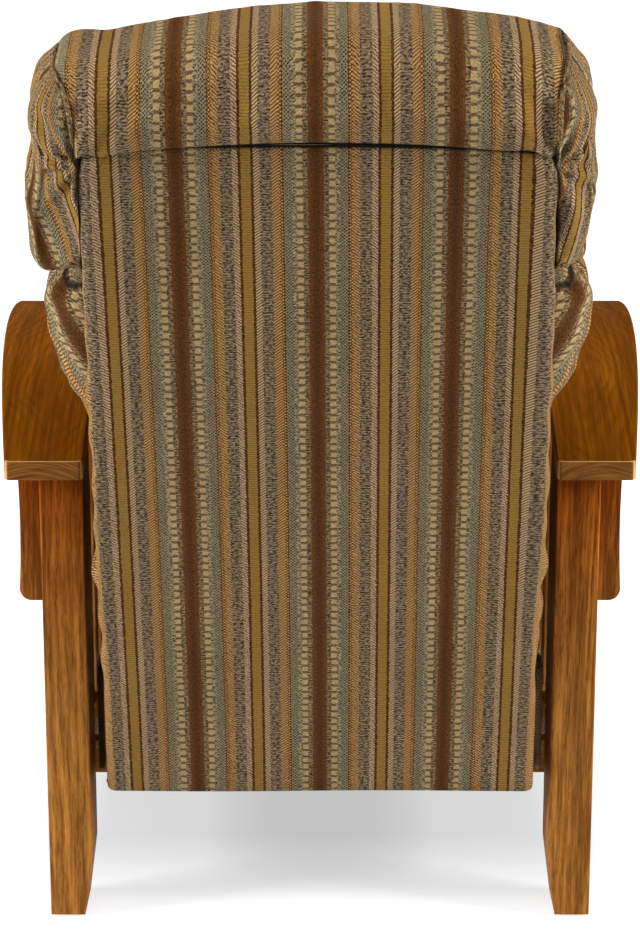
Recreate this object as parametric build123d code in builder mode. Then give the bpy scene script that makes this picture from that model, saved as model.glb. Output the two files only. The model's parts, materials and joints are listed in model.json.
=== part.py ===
from build123d import *
import os
from math import acos, cos, degrees, radians, sin, sqrt

os.makedirs("parts", exist_ok=True)

# A mission reclining armchair, in millimetres: +Z up, floor at zero, front towards -Y,
# symmetric about X = 0. Paired pieces are built on the +X side, the sitter's left, and mirrored.

# Clearances
overrun = 2.0  # how far a cutter passes a face
seat_gap = 0.3  # between pieces that only rest near each other, and between layers of links
pivot_clearance = 0.05  # radial, between a pin and the piece that turns on it

# Legs
leg_width = 50.8
leg_depth = 76.0
leg_inner_x = 270.0
leg_clear_span = 393.0  # from the front leg's back to the rear leg's front
rear_leg_back_y = 225.0
leg_edge_radius = 2.5
foot_taper_height = 75.0
foot_taper = 9.8
glide_thickness = 3.0
glide_radius = 14.0
leg_outer_x = leg_inner_x + leg_width
rear_leg_front_y = rear_leg_back_y - leg_depth
front_leg_back_y = rear_leg_front_y - leg_clear_span
front_leg_front_y = front_leg_back_y - leg_depth
leg_centre_x = leg_inner_x + leg_width / 2

# Widths of the moving body between the legs
side_clearance = 8.0  # from a leg's inner face to the upholstered side panel
side_panel_thickness = 10.0
side_rail_width = 28.0
seat_rail_outer_x = leg_inner_x - side_clearance - side_panel_thickness
plate_outer_x = seat_rail_outer_x - side_rail_width

# Arms: a board bent to a bow in side view, and wider towards the front in plan
arm_length = 600.0
arm_rear_overhang = 20.0
arm_inner_overhang = 2.0
arm_rear_width = 89.0
arm_front_width = 135.0
arm_edge_bow = 9.5
arm_thickness = 20.0
arm_bow_radius = 1060.0
arm_crest_z = 650.0
arm_crest_setback = 411.0  # from the rear end to the highest point
arm_corner_radius = 6.0
arm_edge_radius = 2.5
arm_inner_x = leg_inner_x - arm_inner_overhang
arm_rear_y = rear_leg_back_y + arm_rear_overhang
arm_front_y = arm_rear_y - arm_length
bow_centre_y = arm_rear_y - arm_crest_setback
bow_centre_z = arm_crest_z - arm_bow_radius
under_arm_radius = arm_bow_radius - arm_thickness


def bow_height(y, radius):
    """Height of a bow of this radius, on the arm's centre, above the place y."""
    return bow_centre_z + sqrt(radius**2 - (y - bow_centre_y) ** 2)


def write(builder, name):
    """Labels one piece, or one group of like pieces, and writes it."""
    builder.part.label = name
    export_step(builder.part, f"parts/{name}.step")


def write_pair(left, name):
    """Writes a piece of the left side and its mirror image."""
    write(left, name + "_left")
    with BuildPart() as right:
        mirror(left.part, about=Plane.YZ)
    write(right, name + "_right")


def write_group(left, name):
    """Writes a piece of the left side and its mirror image as one group of two solids."""
    with BuildPart() as group:
        add(left.part)
        mirror(left.part, about=Plane.YZ)
    write(group, name)


def make_leg(front_y):
    """An upright post whose top follows the underside of the arm and whose foot tapers inside."""
    with BuildPart() as leg:
        with BuildSketch(Plane.XY.offset(glide_thickness)):
            with Locations((leg_centre_x, front_y + leg_depth / 2)):
                RectangleRounded(leg_width, leg_depth, leg_edge_radius)
        extrude(amount=arm_crest_z)
        with BuildSketch(Plane.YZ):
            with Locations((bow_centre_y, bow_centre_z)):
                Circle(under_arm_radius)
        extrude(amount=leg_outer_x + overrun, mode=Mode.INTERSECT)
        taper_top = glide_thickness + foot_taper_height
        with BuildSketch(Plane.XZ.offset(-front_y - leg_depth)):
            with BuildLine():
                Polyline(
                    (leg_inner_x, taper_top),
                    (leg_inner_x + foot_taper, glide_thickness),
                    (leg_inner_x - overrun, glide_thickness),
                    (leg_inner_x - overrun, taper_top),
                    close=True,
                )
            make_face()
        extrude(amount=leg_depth, mode=Mode.SUBTRACT)
    return leg


write_pair(make_leg(rear_leg_front_y), "rear_leg")
write_pair(make_leg(front_leg_front_y), "front_leg")

# Arms
arm_mid_y = arm_rear_y - arm_length / 2
with BuildPart() as arm:
    with BuildSketch(Plane.XY):
        with BuildLine():
            edge = ThreePointArc(
                (arm_inner_x + arm_rear_width, arm_rear_y),
                (arm_inner_x + (arm_rear_width + arm_front_width) / 2 + arm_edge_bow, arm_mid_y),
                (arm_inner_x + arm_front_width, arm_front_y),
            )
            Polyline(edge @ 1, (arm_inner_x, arm_front_y), (arm_inner_x, arm_rear_y), edge @ 0)
        make_face()
    extrude(amount=arm_crest_z + overrun)
    fillet(arm.edges().filter_by(Axis.Z), arm_corner_radius)
    with BuildSketch(Plane.YZ):
        with Locations((bow_centre_y, bow_centre_z)):
            Circle(arm_bow_radius)
            Circle(under_arm_radius, mode=Mode.SUBTRACT)
    extrude(amount=arm_inner_x + arm_front_width + overrun, mode=Mode.INTERSECT)
    fillet(arm.faces().sort_by(Axis.Z)[-1].edges(), arm_edge_radius)
write_pair(arm, "arm")

# Corbels, on the outer faces of the legs under the arms
rear_corbel_reach = 34.5
rear_corbel_foot_reach = 28.5
rear_corbel_drop = 155.0  # below the rear end of the arm's underside
rear_corbel_thickness = 38.0
rear_corbel_round = 14.0
front_corbel_reach = 66.0
front_corbel_foot_reach = 13.0
front_corbel_drop = 205.0
front_corbel_thickness = 24.0
front_corbel_hollow = 10.0
front_corbel_round = 5.0


def make_corbel(leg_front_y, reach, foot_reach, drop, thickness, hollow, foot_round):
    """A bracket profile seen from the front, centred on the leg, with its top cut to the bow."""
    back_y = leg_front_y + (leg_depth + thickness) / 2
    low_z = bow_height(arm_rear_y, under_arm_radius) - drop
    with BuildPart() as corbel:
        with BuildSketch(Plane.XZ.offset(-back_y)) as profile:
            with BuildLine():
                foot = (leg_outer_x + foot_reach, low_z)
                top = (leg_outer_x + reach, arm_crest_z)
                middle = (
                    leg_outer_x + (reach + foot_reach) / 2 - hollow,
                    (low_z + arm_crest_z) / 2 + hollow,
                )
                ThreePointArc(foot, middle, top)
                Polyline(top, (leg_outer_x, arm_crest_z), (leg_outer_x, low_z), foot)
            make_face()
            fillet(profile.vertices().group_by(Axis.Y)[0].sort_by(Axis.X)[-1], foot_round)
        extrude(amount=thickness)
        with BuildSketch(Plane.YZ):
            with Locations((bow_centre_y, bow_centre_z)):
                Circle(under_arm_radius)
        extrude(amount=leg_outer_x + reach + overrun, mode=Mode.INTERSECT)
    return corbel


rear_corbel = make_corbel(
    rear_leg_front_y,
    rear_corbel_reach,
    rear_corbel_foot_reach,
    rear_corbel_drop,
    rear_corbel_thickness,
    rear_corbel_reach - rear_corbel_foot_reach,
    rear_corbel_round,
)
write_pair(rear_corbel, "rear_corbel")
front_corbel = make_corbel(
    front_leg_front_y,
    front_corbel_reach,
    front_corbel_foot_reach,
    front_corbel_drop,
    front_corbel_thickness,
    front_corbel_hollow,
    front_corbel_round,
)
write_pair(front_corbel, "front_corbel")

# Side rails between the legs, centred on their width
side_rail_thickness = 22.0
top_rail_height = 48.0
lower_rail_height = 60.0
lower_rail_z = 118.0
side_rail_inner_x = leg_centre_x - side_rail_thickness / 2
side_rail_outer_x = leg_centre_x + side_rail_thickness / 2
lower_rail_top_z = lower_rail_z + lower_rail_height
rail_mid_y = front_leg_back_y + leg_clear_span / 2
slat_top_radius = under_arm_radius - top_rail_height
with BuildPart() as top_rail:
    with BuildSketch(Plane.YZ.offset(side_rail_inner_x)):
        with Locations((bow_centre_y, bow_centre_z)):
            Circle(under_arm_radius)
            Circle(slat_top_radius, mode=Mode.SUBTRACT)
        with Locations((rail_mid_y, arm_crest_z)):
            Rectangle(leg_clear_span, arm_crest_z, mode=Mode.INTERSECT)
    extrude(amount=side_rail_thickness)
write_pair(top_rail, "side_top_rail")

# Cross rails tie the two side frames, and their bolts come in from outside
cross_rail_thickness = 22.0
cross_rail_height = 42.0
front_cross_rail_y = -150.0
rear_cross_rail_y = 46.0
bolt_radius = 4.0
bolt_head_radius = 8.0
bolt_head_thickness = 4.0
bolt_grip = 36.0  # length in the cross rail
cross_rail_top_z = lower_rail_z + cross_rail_height
bolt_z = lower_rail_z + cross_rail_height / 2
cross_rail_places = (front_cross_rail_y, rear_cross_rail_y)
channel_reach = 22.0  # outwards from the mechanism plate
channel_outer_x = plate_outer_x + channel_reach
channel_width = 20.0
channel_height = 40.0
channel_wall = 2.0
channel_screw_grip = 20.0
channel_screw_x = channel_outer_x - channel_width / 2
screw_radius = 2.5
screw_head_radius = 5.0
screw_head_thickness = 2.0


def bolt_holes(near_x, far_x):
    """Takes the four frame bolts out of the piece being built, on the +X side."""
    with BuildSketch(Plane.YZ.offset(near_x)) as holes:
        with Locations(*[(y, bolt_z) for y in cross_rail_places]):
            Circle(bolt_radius)
    extrude(holes.sketch, amount=far_x - near_x, mode=Mode.SUBTRACT)


with BuildPart() as lower_rail:
    with BuildSketch(Plane.YZ.offset(side_rail_inner_x)):
        with Locations((rail_mid_y, lower_rail_z + lower_rail_height / 2)):
            Rectangle(leg_clear_span, lower_rail_height)
    extrude(amount=side_rail_thickness)
    bolt_holes(side_rail_inner_x - overrun, side_rail_outer_x + overrun)
write_pair(lower_rail, "side_lower_rail")

for rail_name, rail_y in (("front_cross_rail", front_cross_rail_y), ("rear_cross_rail", rear_cross_rail_y)):
    with BuildPart() as cross_rail:
        with BuildSketch(Plane.YZ):
            with Locations((rail_y, bolt_z)):
                Rectangle(cross_rail_thickness, cross_rail_height)
        extrude(amount=side_rail_inner_x, both=True)
        for near_x in (-side_rail_inner_x, side_rail_inner_x - bolt_grip):
            bolt_holes(near_x, near_x + bolt_grip)
        with BuildSketch(Plane.XY.offset(cross_rail_top_z)):
            with Locations((channel_screw_x, rail_y), (-channel_screw_x, rail_y)):
                Circle(screw_radius)
        extrude(amount=-channel_screw_grip, mode=Mode.SUBTRACT)
    write(cross_rail, rail_name)

with BuildPart() as frame_bolts:
    for bolt_y in cross_rail_places:
        with BuildSketch(Plane.YZ.offset(side_rail_inner_x - bolt_grip)):
            with Locations((bolt_y, bolt_z)):
                Circle(bolt_radius)
        extrude(amount=bolt_grip + side_rail_thickness)
        with BuildSketch(Plane.YZ.offset(side_rail_outer_x)):
            with Locations((bolt_y, bolt_z)):
                RegularPolygon(bolt_head_radius, 6)
        extrude(amount=bolt_head_thickness)
    mirror(about=Plane.YZ)
write(frame_bolts, "frame_bolts")

# Side slats between the lower rail and the top rail
slat_count = 5
slat_width = 44.0
slat_thickness = 12.0
slat_gap = (leg_clear_span - slat_count * slat_width) / (slat_count + 1)
with BuildPart() as slats:
    with BuildSketch(Plane.XY.offset(lower_rail_top_z)):
        for number in range(slat_count):
            slat_y = front_leg_back_y + slat_gap + slat_width / 2 + number * (slat_width + slat_gap)
            with Locations((leg_centre_x, slat_y)):
                Rectangle(slat_thickness, slat_width)
    extrude(amount=arm_crest_z)
    with BuildSketch(Plane.YZ):
        with Locations((bow_centre_y, bow_centre_z)):
            Circle(slat_top_radius)
    extrude(amount=leg_outer_x, mode=Mode.INTERSECT)
write_pair(slats, "side_slats")

# Glides under the feet
with BuildPart() as glides:
    with BuildSketch(Plane.XY):
        glide_x = leg_centre_x + foot_taper / 2
        with Locations(
            (glide_x, rear_leg_front_y + leg_depth / 2),
            (glide_x, front_leg_front_y + leg_depth / 2),
        ):
            Circle(glide_radius)
    extrude(amount=glide_thickness)
    mirror(about=Plane.YZ)
write(glides, "floor_glides")

# The back's own frame: it leans on a line from the hem, t runs forward from the rear
# surface and v runs up along it
back_lean = 16.7
hem_z = 162.0
panel_height = 826.0
panel_thickness = 6.0
back_side_gap = 2.0  # to the seat side panels
panel_narrowing = 12.0  # on each side at the top
panel_half_width = seat_rail_outer_x - back_side_gap
panel_top_half_width = panel_half_width - panel_narrowing
lean_sin = sin(radians(back_lean))
lean_cos = cos(radians(back_lean))
back_face = Plane(origin=(0, rear_leg_back_y, hem_z), x_dir=(1, 0, 0), z_dir=(0, -lean_cos, lean_sin))
back_floor = Plane(origin=(0, rear_leg_back_y, hem_z), x_dir=(1, 0, 0), z_dir=(0, lean_sin, lean_cos))


def back_side(x):
    """A plane at this X with t to its right and v up."""
    return Plane(origin=(x, rear_leg_back_y, hem_z), x_dir=(0, -lean_cos, lean_sin), z_dir=(-1, 0, 0))


def back_place(t, v):
    """Y and Z of a place of the back at rest."""
    return (rear_leg_back_y - t * lean_cos + v * lean_sin, hem_z + t * lean_sin + v * lean_cos)


# Mechanism layers, from the base channel towards the middle of the chair
plate_thickness = 3.0
link_thickness = 3.0
rivet_head_thickness = 2.0
plate_inner_x = plate_outer_x - plate_thickness
lift_link_x = plate_inner_x - seat_gap - link_thickness
long_link_x = lift_link_x - seat_gap - link_thickness
footrest_bracket_x = long_link_x - seat_gap - link_thickness
board_link_x = footrest_bracket_x - seat_gap - link_thickness

# Pivots of the footrest linkage, two parallelograms one on the other: every link of a
# parallelogram stays parallel to its partner, so all of them turn alike
rivet_radius = 4.0
rivet_head_radius = 7.0
link_half_width = 12.0
board_link_half_width = 10.0
lift_pivot_y = -350.0
lift_pivot_z = 300.0
lift_link_length = 150.0
lift_link_rest_angle = 24.5  # behind straight down
board_pivot_offset = 35.0
pivot_spacing = 48.0
pivot_spacing_angle = 18.0
long_link_length = 164.0
long_link_angle = 49.0
lift_pivot = Vector(0, lift_pivot_y, lift_pivot_z)


def mechanism_step(length, forward_angle):
    """A step in side view, at an angle up from straight forward."""
    return Vector(0, -length * cos(radians(forward_angle)), length * sin(radians(forward_angle)))


lift_angle = -90.0 - lift_link_rest_angle
lift_joint = lift_pivot + mechanism_step(lift_link_length, lift_angle)
board_joint = lift_pivot + mechanism_step(lift_link_length + board_pivot_offset, lift_angle)
guide_pivot = lift_pivot - mechanism_step(pivot_spacing, pivot_spacing_angle)
guide_joint = lift_joint - mechanism_step(pivot_spacing, pivot_spacing_angle)
bracket_pivot = lift_joint + mechanism_step(long_link_length, long_link_angle)
bracket_joint = board_joint + mechanism_step(long_link_length, long_link_angle)


def side_view(place):
    """The place as coordinates of a plane that looks along X."""
    return (place.Y, place.Z)


def slot_between(start, end, half_width):
    """Adds a flat bar with round ends to the sketch being built."""
    along = end - start
    turn = degrees(acos(along.Y / along.length)) * (1 if along.Z > 0 else -1)
    with Locations(side_view((start + end) / 2)):
        SlotCenterToCenter(along.length, 2 * half_width, rotation=turn)


def make_link(x, ends, half_width, tight, running):
    """A flat link along its pivots, with holes that fit rivets tightly or with running clearance."""
    with BuildPart() as link:
        with BuildSketch(Plane.YZ.offset(x)):
            for start, end in zip(ends, ends[1:]):
                slot_between(start, end, half_width)
            with Locations(*[side_view(place) for place in tight]):
                Circle(rivet_radius, mode=Mode.SUBTRACT)
            with Locations(*[side_view(place) for place in running]):
                Circle(rivet_radius + pivot_clearance, mode=Mode.SUBTRACT)
        extrude(amount=link_thickness)
    return link


def add_rivet(place, outer_x, inner_x, outer_head, inner_head, spacer=None):
    """Adds a rivet along X to the group being built, from its inner face to its outer face."""
    with BuildSketch(Plane.YZ.offset(inner_x)) as shank:
        with Locations(side_view(place)):
            Circle(rivet_radius)
    extrude(shank.sketch, amount=outer_x - inner_x)
    heads = []
    if outer_head:
        heads.append((outer_x, rivet_head_thickness))
    if inner_head:
        heads.append((inner_x - rivet_head_thickness, rivet_head_thickness))
    if spacer:
        heads.append((spacer[0], spacer[1] - spacer[0]))
    for head_x, head_length in heads:
        with BuildSketch(Plane.YZ.offset(head_x)) as head:
            with Locations(side_view(place)):
                Circle(rivet_head_radius)
        extrude(head.sketch, amount=head_length)


lift_link = make_link(
    lift_link_x,
    (lift_pivot, board_joint),
    link_half_width,
    (lift_joint, board_joint),
    (lift_pivot,),
)
write_group(lift_link, "lift_links")
guide_link = make_link(
    lift_link_x,
    (guide_pivot, guide_joint),
    link_half_width,
    (),
    (guide_pivot, guide_joint),
)
write_group(guide_link, "guide_links")
long_link = make_link(
    long_link_x,
    (guide_joint, lift_joint, bracket_pivot),
    link_half_width,
    (guide_joint,),
    (lift_joint, bracket_pivot),
)
write_group(long_link, "long_links")
board_link = make_link(
    board_link_x,
    (board_joint, bracket_joint),
    board_link_half_width,
    (),
    (board_joint, bracket_joint),
)
write_group(board_link, "board_links")

with BuildPart() as plate_rivets:
    for place in (lift_pivot, guide_pivot):
        add_rivet(place, plate_outer_x, lift_link_x - seat_gap, False, True)
    mirror(about=Plane.YZ)
write(plate_rivets, "plate_rivets")

with BuildPart() as lift_rivets:
    add_rivet(lift_joint, lift_link_x + link_thickness, long_link_x - seat_gap, False, True)
    spacer_span = (board_link_x + link_thickness + seat_gap, lift_link_x)
    inner_x = board_link_x - seat_gap
    add_rivet(board_joint, lift_link_x + link_thickness, inner_x, False, True, spacer_span)
    mirror(about=Plane.YZ)
write(lift_rivets, "lift_rivets")

with BuildPart() as guide_rivets:
    add_rivet(guide_joint, lift_link_x + link_thickness, long_link_x, False, True)
    mirror(about=Plane.YZ)
write(guide_rivets, "guide_rivets")

torque_tube_radius = 9.0
torque_tube_wall = 1.5
torque_tube_offset = 45.0  # along the lift link from its pivot
torque_place = lift_pivot + mechanism_step(torque_tube_offset, lift_angle)
with BuildPart() as torque_tube:
    with BuildSketch(Plane.YZ):
        with Locations(side_view(torque_place)):
            Circle(torque_tube_radius)
            Circle(torque_tube_radius - torque_tube_wall, mode=Mode.SUBTRACT)
    extrude(amount=lift_link_x, both=True)
write(torque_tube, "torque_tube")

# Footrest
seat_front_rail_front_y = -395.0
footrest_gap = 13.0  # from the seat's front rail to the board
board_thickness = 12.0
footrest_side_inset = 2.0
footrest_half_width = seat_rail_outer_x - footrest_side_inset
board_inset = 8.0
footrest_low_z = 165.0
footrest_high_z = 425.0
bracket_flange_width = 26.0
bracket_flange_low = 225.0
bracket_flange_high = 312.0
board_back_y = seat_front_rail_front_y - footrest_gap
board_front_y = board_back_y - board_thickness
bracket_face_y = board_back_y + link_thickness
screw_grip = 9.0
bracket_screw_margin = 14.0
bracket_screw_x = footrest_bracket_x + link_thickness - bracket_flange_width / 2 - link_thickness
bracket_screws = [
    (bracket_screw_x, bracket_flange_low + bracket_screw_margin),
    (bracket_screw_x, bracket_flange_high - bracket_screw_margin),
]

with BuildPart() as footrest_bracket:
    with BuildSketch(Plane.YZ.offset(footrest_bracket_x)):
        slot_between(bracket_pivot, bracket_joint, link_half_width)
        with BuildLine():
            Polyline(
                (board_back_y, bracket_flange_low),
                (board_back_y, bracket_flange_high),
                (bracket_face_y, bracket_flange_high),
                (bracket_pivot.Y, bracket_pivot.Z + link_half_width),
                side_view(bracket_joint),
                (bracket_joint.Y, bracket_joint.Z - link_half_width),
                (bracket_face_y, bracket_flange_low),
                close=True,
            )
        make_face()
        with Locations(side_view(bracket_pivot), side_view(bracket_joint)):
            Circle(rivet_radius, mode=Mode.SUBTRACT)
    extrude(amount=link_thickness)
    with BuildSketch(Plane.XZ.offset(-bracket_face_y)):
        flange_x = footrest_bracket_x + link_thickness - bracket_flange_width / 2
        with Locations((flange_x, (bracket_flange_low + bracket_flange_high) / 2)):
            Rectangle(bracket_flange_width, bracket_flange_high - bracket_flange_low)
        with Locations(*bracket_screws):
            Circle(screw_radius, mode=Mode.SUBTRACT)
    extrude(amount=link_thickness)
write_group(footrest_bracket, "footrest_brackets")

with BuildPart() as bracket_rivets:
    outer_x = long_link_x + link_thickness + seat_gap
    add_rivet(bracket_pivot, outer_x, footrest_bracket_x, True, False)
    add_rivet(bracket_joint, footrest_bracket_x + link_thickness, board_link_x - seat_gap, False, True)
    mirror(about=Plane.YZ)
write(bracket_rivets, "bracket_rivets")

with BuildPart() as footrest_screws:
    with BuildSketch(Plane.XZ.offset(-bracket_face_y)):
        with Locations(*bracket_screws):
            Circle(screw_radius)
    extrude(amount=link_thickness + screw_grip)
    with BuildSketch(Plane.XZ.offset(-bracket_face_y)):
        with Locations(*bracket_screws):
            Circle(screw_head_radius)
    extrude(amount=-screw_head_thickness)
    mirror(about=Plane.YZ)
write(footrest_screws, "footrest_screws")

with BuildPart() as footrest_board:
    with BuildSketch(Plane.XZ.offset(-board_back_y)):
        with Locations((0, (footrest_low_z + footrest_high_z) / 2)):
            RectangleRounded(
                2 * (footrest_half_width - board_inset),
                footrest_high_z - footrest_low_z - 2 * board_inset,
                board_inset,
            )
    extrude(amount=board_thickness)
    with BuildSketch(Plane.XZ.offset(-board_back_y)):
        with Locations(*bracket_screws, *[(-x, z) for x, z in bracket_screws]):
            Circle(screw_radius)
    extrude(amount=screw_grip, mode=Mode.SUBTRACT)
write(footrest_board, "footrest_board")

# Footrest pad. Its front is as far forward of the origin as the head section's rear is behind it
pad_depth = 49.25
pad_back_y = board_front_y - seat_gap
# Stations of a padded slab: depth, how far the edges draw in, and corner round, as
# shares of its thickness
slab_station_shares = (
    (0.0, 0.12, 0.30),
    (0.12, 0.03, 0.45),
    (0.30, 0.0, 0.60),
    (0.55, 0.04, 0.75),
    (0.75, 0.16, 0.85),
    (0.90, 0.38, 0.90),
    (1.0, 0.80, 0.90),
)
with BuildPart() as footrest_pad:
    for depth_share, inset_share, round_share in slab_station_shares:
        inset = inset_share * pad_depth
        with BuildSketch(Plane.XZ.offset(-pad_back_y + depth_share * pad_depth)):
            with Locations((0, (footrest_low_z + footrest_high_z) / 2)):
                RectangleRounded(
                    2 * (footrest_half_width - inset),
                    footrest_high_z - footrest_low_z - 2 * inset,
                    round_share * pad_depth,
                )
    loft(ruled=True)
write(footrest_pad, "footrest_pad")

# Base channels, screwed down on the cross rails
channel_front_y = -330.0
channel_rear_y = 70.0
with BuildPart() as base_channel:
    with BuildSketch(Plane.XZ.offset(-channel_rear_y)):
        with Locations((channel_screw_x, cross_rail_top_z + channel_height / 2)):
            Rectangle(channel_width, channel_height)
        with Locations((channel_screw_x - channel_wall, cross_rail_top_z + channel_height / 2)):
            Rectangle(channel_width, channel_height - 2 * channel_wall, mode=Mode.SUBTRACT)
    extrude(amount=channel_rear_y - channel_front_y)
    with BuildSketch(Plane.XY.offset(cross_rail_top_z)):
        with Locations(*[(channel_screw_x, y) for y in cross_rail_places]):
            Circle(screw_radius)
    extrude(amount=channel_wall, mode=Mode.SUBTRACT)
write_group(base_channel, "base_channels")

with BuildPart() as channel_screws:
    for screw_y in cross_rail_places:
        with BuildSketch(Plane.XY.offset(cross_rail_top_z + channel_wall)):
            with Locations((channel_screw_x, screw_y)):
                Circle(screw_radius)
        extrude(amount=-channel_wall - channel_screw_grip)
        with BuildSketch(Plane.XY.offset(cross_rail_top_z + channel_wall)):
            with Locations((channel_screw_x, screw_y)):
                Circle(screw_head_radius)
        extrude(amount=screw_head_thickness)
    mirror(about=Plane.YZ)
write(channel_screws, "channel_screws")

# Seat: wooden box, side panels, mechanism plates with their slide blocks, springs, deck, cushion
seat_rail_low_z = 270.0
seat_rail_top_z = 360.0
seat_end_rail_height = 42.0
seat_end_rail_thickness = 20.0
seat_rear_rail_back_y = 117.0
seat_front_rail_back_y = seat_front_rail_front_y + seat_end_rail_thickness
seat_rear_rail_front_y = seat_rear_rail_back_y - seat_end_rail_thickness
seat_end_rail_low_z = seat_rail_top_z - seat_end_rail_height
with BuildPart() as seat_side_rail:
    with BuildSketch(Plane.YZ.offset(plate_outer_x)):
        with Locations(
            (
                (seat_front_rail_back_y + seat_rear_rail_front_y) / 2,
                (seat_rail_low_z + seat_rail_top_z) / 2,
            )
        ):
            Rectangle(seat_rear_rail_front_y - seat_front_rail_back_y, seat_rail_top_z - seat_rail_low_z)
    extrude(amount=seat_rail_outer_x - plate_outer_x)
write_group(seat_side_rail, "seat_side_rails")

for rail_name, rail_back_y in (
    ("seat_front_rail", seat_front_rail_back_y),
    ("seat_rear_rail", seat_rear_rail_back_y),
):
    with BuildPart() as seat_end_rail:
        with BuildSketch(Plane.XZ.offset(-rail_back_y)):
            with Locations((0, seat_rail_top_z - seat_end_rail_height / 2)):
                Rectangle(2 * seat_rail_outer_x, seat_end_rail_height)
        extrude(amount=seat_end_rail_thickness)
    write(seat_end_rail, rail_name)

# Upholstered side panel, outside the side rail, reaching back beside the outer back
side_panel_low_z = 165.0
side_panel_top_z = 300.0
side_panel_setback = 50.0  # of its rear end, in front of the rear legs' back faces
side_panel_round = 12.0
side_panel_rear_y = rear_leg_back_y - side_panel_setback
with BuildPart() as side_panel:
    with BuildSketch(Plane.YZ.offset(seat_rail_outer_x)):
        with Locations(
            (
                (seat_front_rail_back_y + side_panel_rear_y) / 2,
                (side_panel_low_z + side_panel_top_z) / 2,
            )
        ):
            RectangleRounded(
                side_panel_rear_y - seat_front_rail_back_y,
                side_panel_top_z - side_panel_low_z,
                side_panel_round,
            )
    extrude(amount=side_panel_thickness)
write_pair(side_panel, "seat_side_panel")

# Mechanism side plate, on the inner face of the side rail, with an ear for the back pivot
back_pivot_y = 150.0
back_pivot_z = 300.0
pivot_bolt_radius = 5.0
pivot_head_radius = 9.0
pivot_head_thickness = 3.0
plate_ear_radius = 15.0
plate_margin = 22.0  # of the plate's front edge from the foremost pivot
plate_top_z = 345.0
plate_floor_gap = 5.0
plate_low_z = cross_rail_top_z + plate_floor_gap
plate_rear_low_y = 60.0
plate_front_low_y = -290.0
back_pivot = Vector(0, back_pivot_y, back_pivot_z)
plate_front_y = lift_pivot.Y - plate_margin
with BuildPart() as side_plate:
    with BuildSketch(Plane.YZ.offset(plate_inner_x)):
        with BuildLine():
            Polyline(
                (plate_front_y, plate_top_z),
                (seat_rear_rail_front_y, plate_top_z),
                (seat_rear_rail_front_y, back_pivot_z + plate_ear_radius),
                (back_pivot_y, back_pivot_z + plate_ear_radius),
                (back_pivot_y, back_pivot_z - plate_ear_radius),
                (seat_rear_rail_front_y, back_pivot_z - plate_ear_radius),
                (plate_rear_low_y, plate_low_z),
                (plate_front_low_y, plate_low_z),
                (plate_front_y, lift_pivot.Z - plate_margin - link_half_width),
                close=True,
            )
        make_face()
        with Locations(side_view(back_pivot)):
            Circle(plate_ear_radius)
            Circle(pivot_bolt_radius, mode=Mode.SUBTRACT)
        with Locations(side_view(lift_pivot), side_view(guide_pivot)):
            Circle(rivet_radius, mode=Mode.SUBTRACT)
    extrude(amount=plate_thickness)
write_pair(side_plate, "side_plate")

slide_block_length = 40.0
front_block_y = -240.0
rear_block_y = 12.0
with BuildPart() as slide_blocks:
    block_height = channel_height - 2 * channel_wall - 2 * seat_gap
    with BuildSketch(Plane.YZ.offset(plate_outer_x)):
        with Locations(*[(y, cross_rail_top_z + channel_height / 2) for y in (front_block_y, rear_block_y)]):
            Rectangle(slide_block_length, block_height)
    extrude(amount=channel_outer_x - channel_wall - seat_gap - plate_outer_x)
    mirror(about=Plane.YZ)
write(slide_blocks, "slide_blocks")

# Sinuous springs, one bent wire each
spring_wire_radius = 1.9
spring_half_width = 24.0
spring_pitch = 30.0
spring_bend_share = 0.47
seat_spring_spacing = 92.0
seat_spring_count = 5
spring_end_margin = 5.0
deck_thickness = 4.0
deck_inset = 8.0
seat_spring_z = seat_rail_top_z + seat_gap + spring_wire_radius


def add_spring(plane, x, start, end):
    """Adds a zigzag wire with round bends to the group, from start to end along the plane's Y."""
    count = round((end - start) / spring_pitch)
    step = (end - start) / count
    corners = []
    for number in range(count + 1):
        side = 1 if number % 2 else -1
        corners.append((x + side * spring_half_width, start + number * step))
        corners.append((x - side * spring_half_width, start + number * step))
    with BuildLine(plane) as wire:
        FilletPolyline(*corners, radius=spring_bend_share * step)
    with BuildSketch(Plane(origin=wire.line @ 0, z_dir=wire.line % 0)) as section:
        Circle(spring_wire_radius)
    sweep(section.sketch, path=wire.line)


with BuildPart() as seat_springs:
    for number in range(seat_spring_count):
        spring_x = (number - (seat_spring_count - 1) / 2) * seat_spring_spacing
        add_spring(
            Plane.XY.offset(seat_spring_z),
            spring_x,
            seat_front_rail_front_y + spring_end_margin,
            seat_rear_rail_back_y - spring_end_margin,
        )
write(seat_springs, "seat_springs")

deck_z = seat_spring_z + spring_wire_radius + seat_gap
with BuildPart() as seat_deck:
    with BuildSketch(Plane.XY.offset(deck_z)):
        with Locations((0, (seat_front_rail_front_y + seat_rear_rail_back_y) / 2)):
            Rectangle(
                2 * seat_rail_outer_x - 2 * deck_inset,
                seat_rear_rail_back_y - seat_front_rail_front_y,
            )
    extrude(amount=deck_thickness)
write(seat_deck, "seat_deck")

# Seat cushion, with a nose that hangs over the footrest pad
cushion_overhang = 2.0
cushion_half_width = seat_rail_outer_x + cushion_overhang
cushion_front_y = -445.0
cushion_rear_y = 108.0
cushion_top_z = 508.0
cushion_fall = 26.0  # of its top from front to rear
nose_low_z = 432.0
nose_gap = 3.0  # in front of the front rail
cushion_z = deck_z + deck_thickness + seat_gap
cushion_height = cushion_top_z - cushion_z
cushion_length = cushion_rear_y - cushion_front_y
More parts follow.
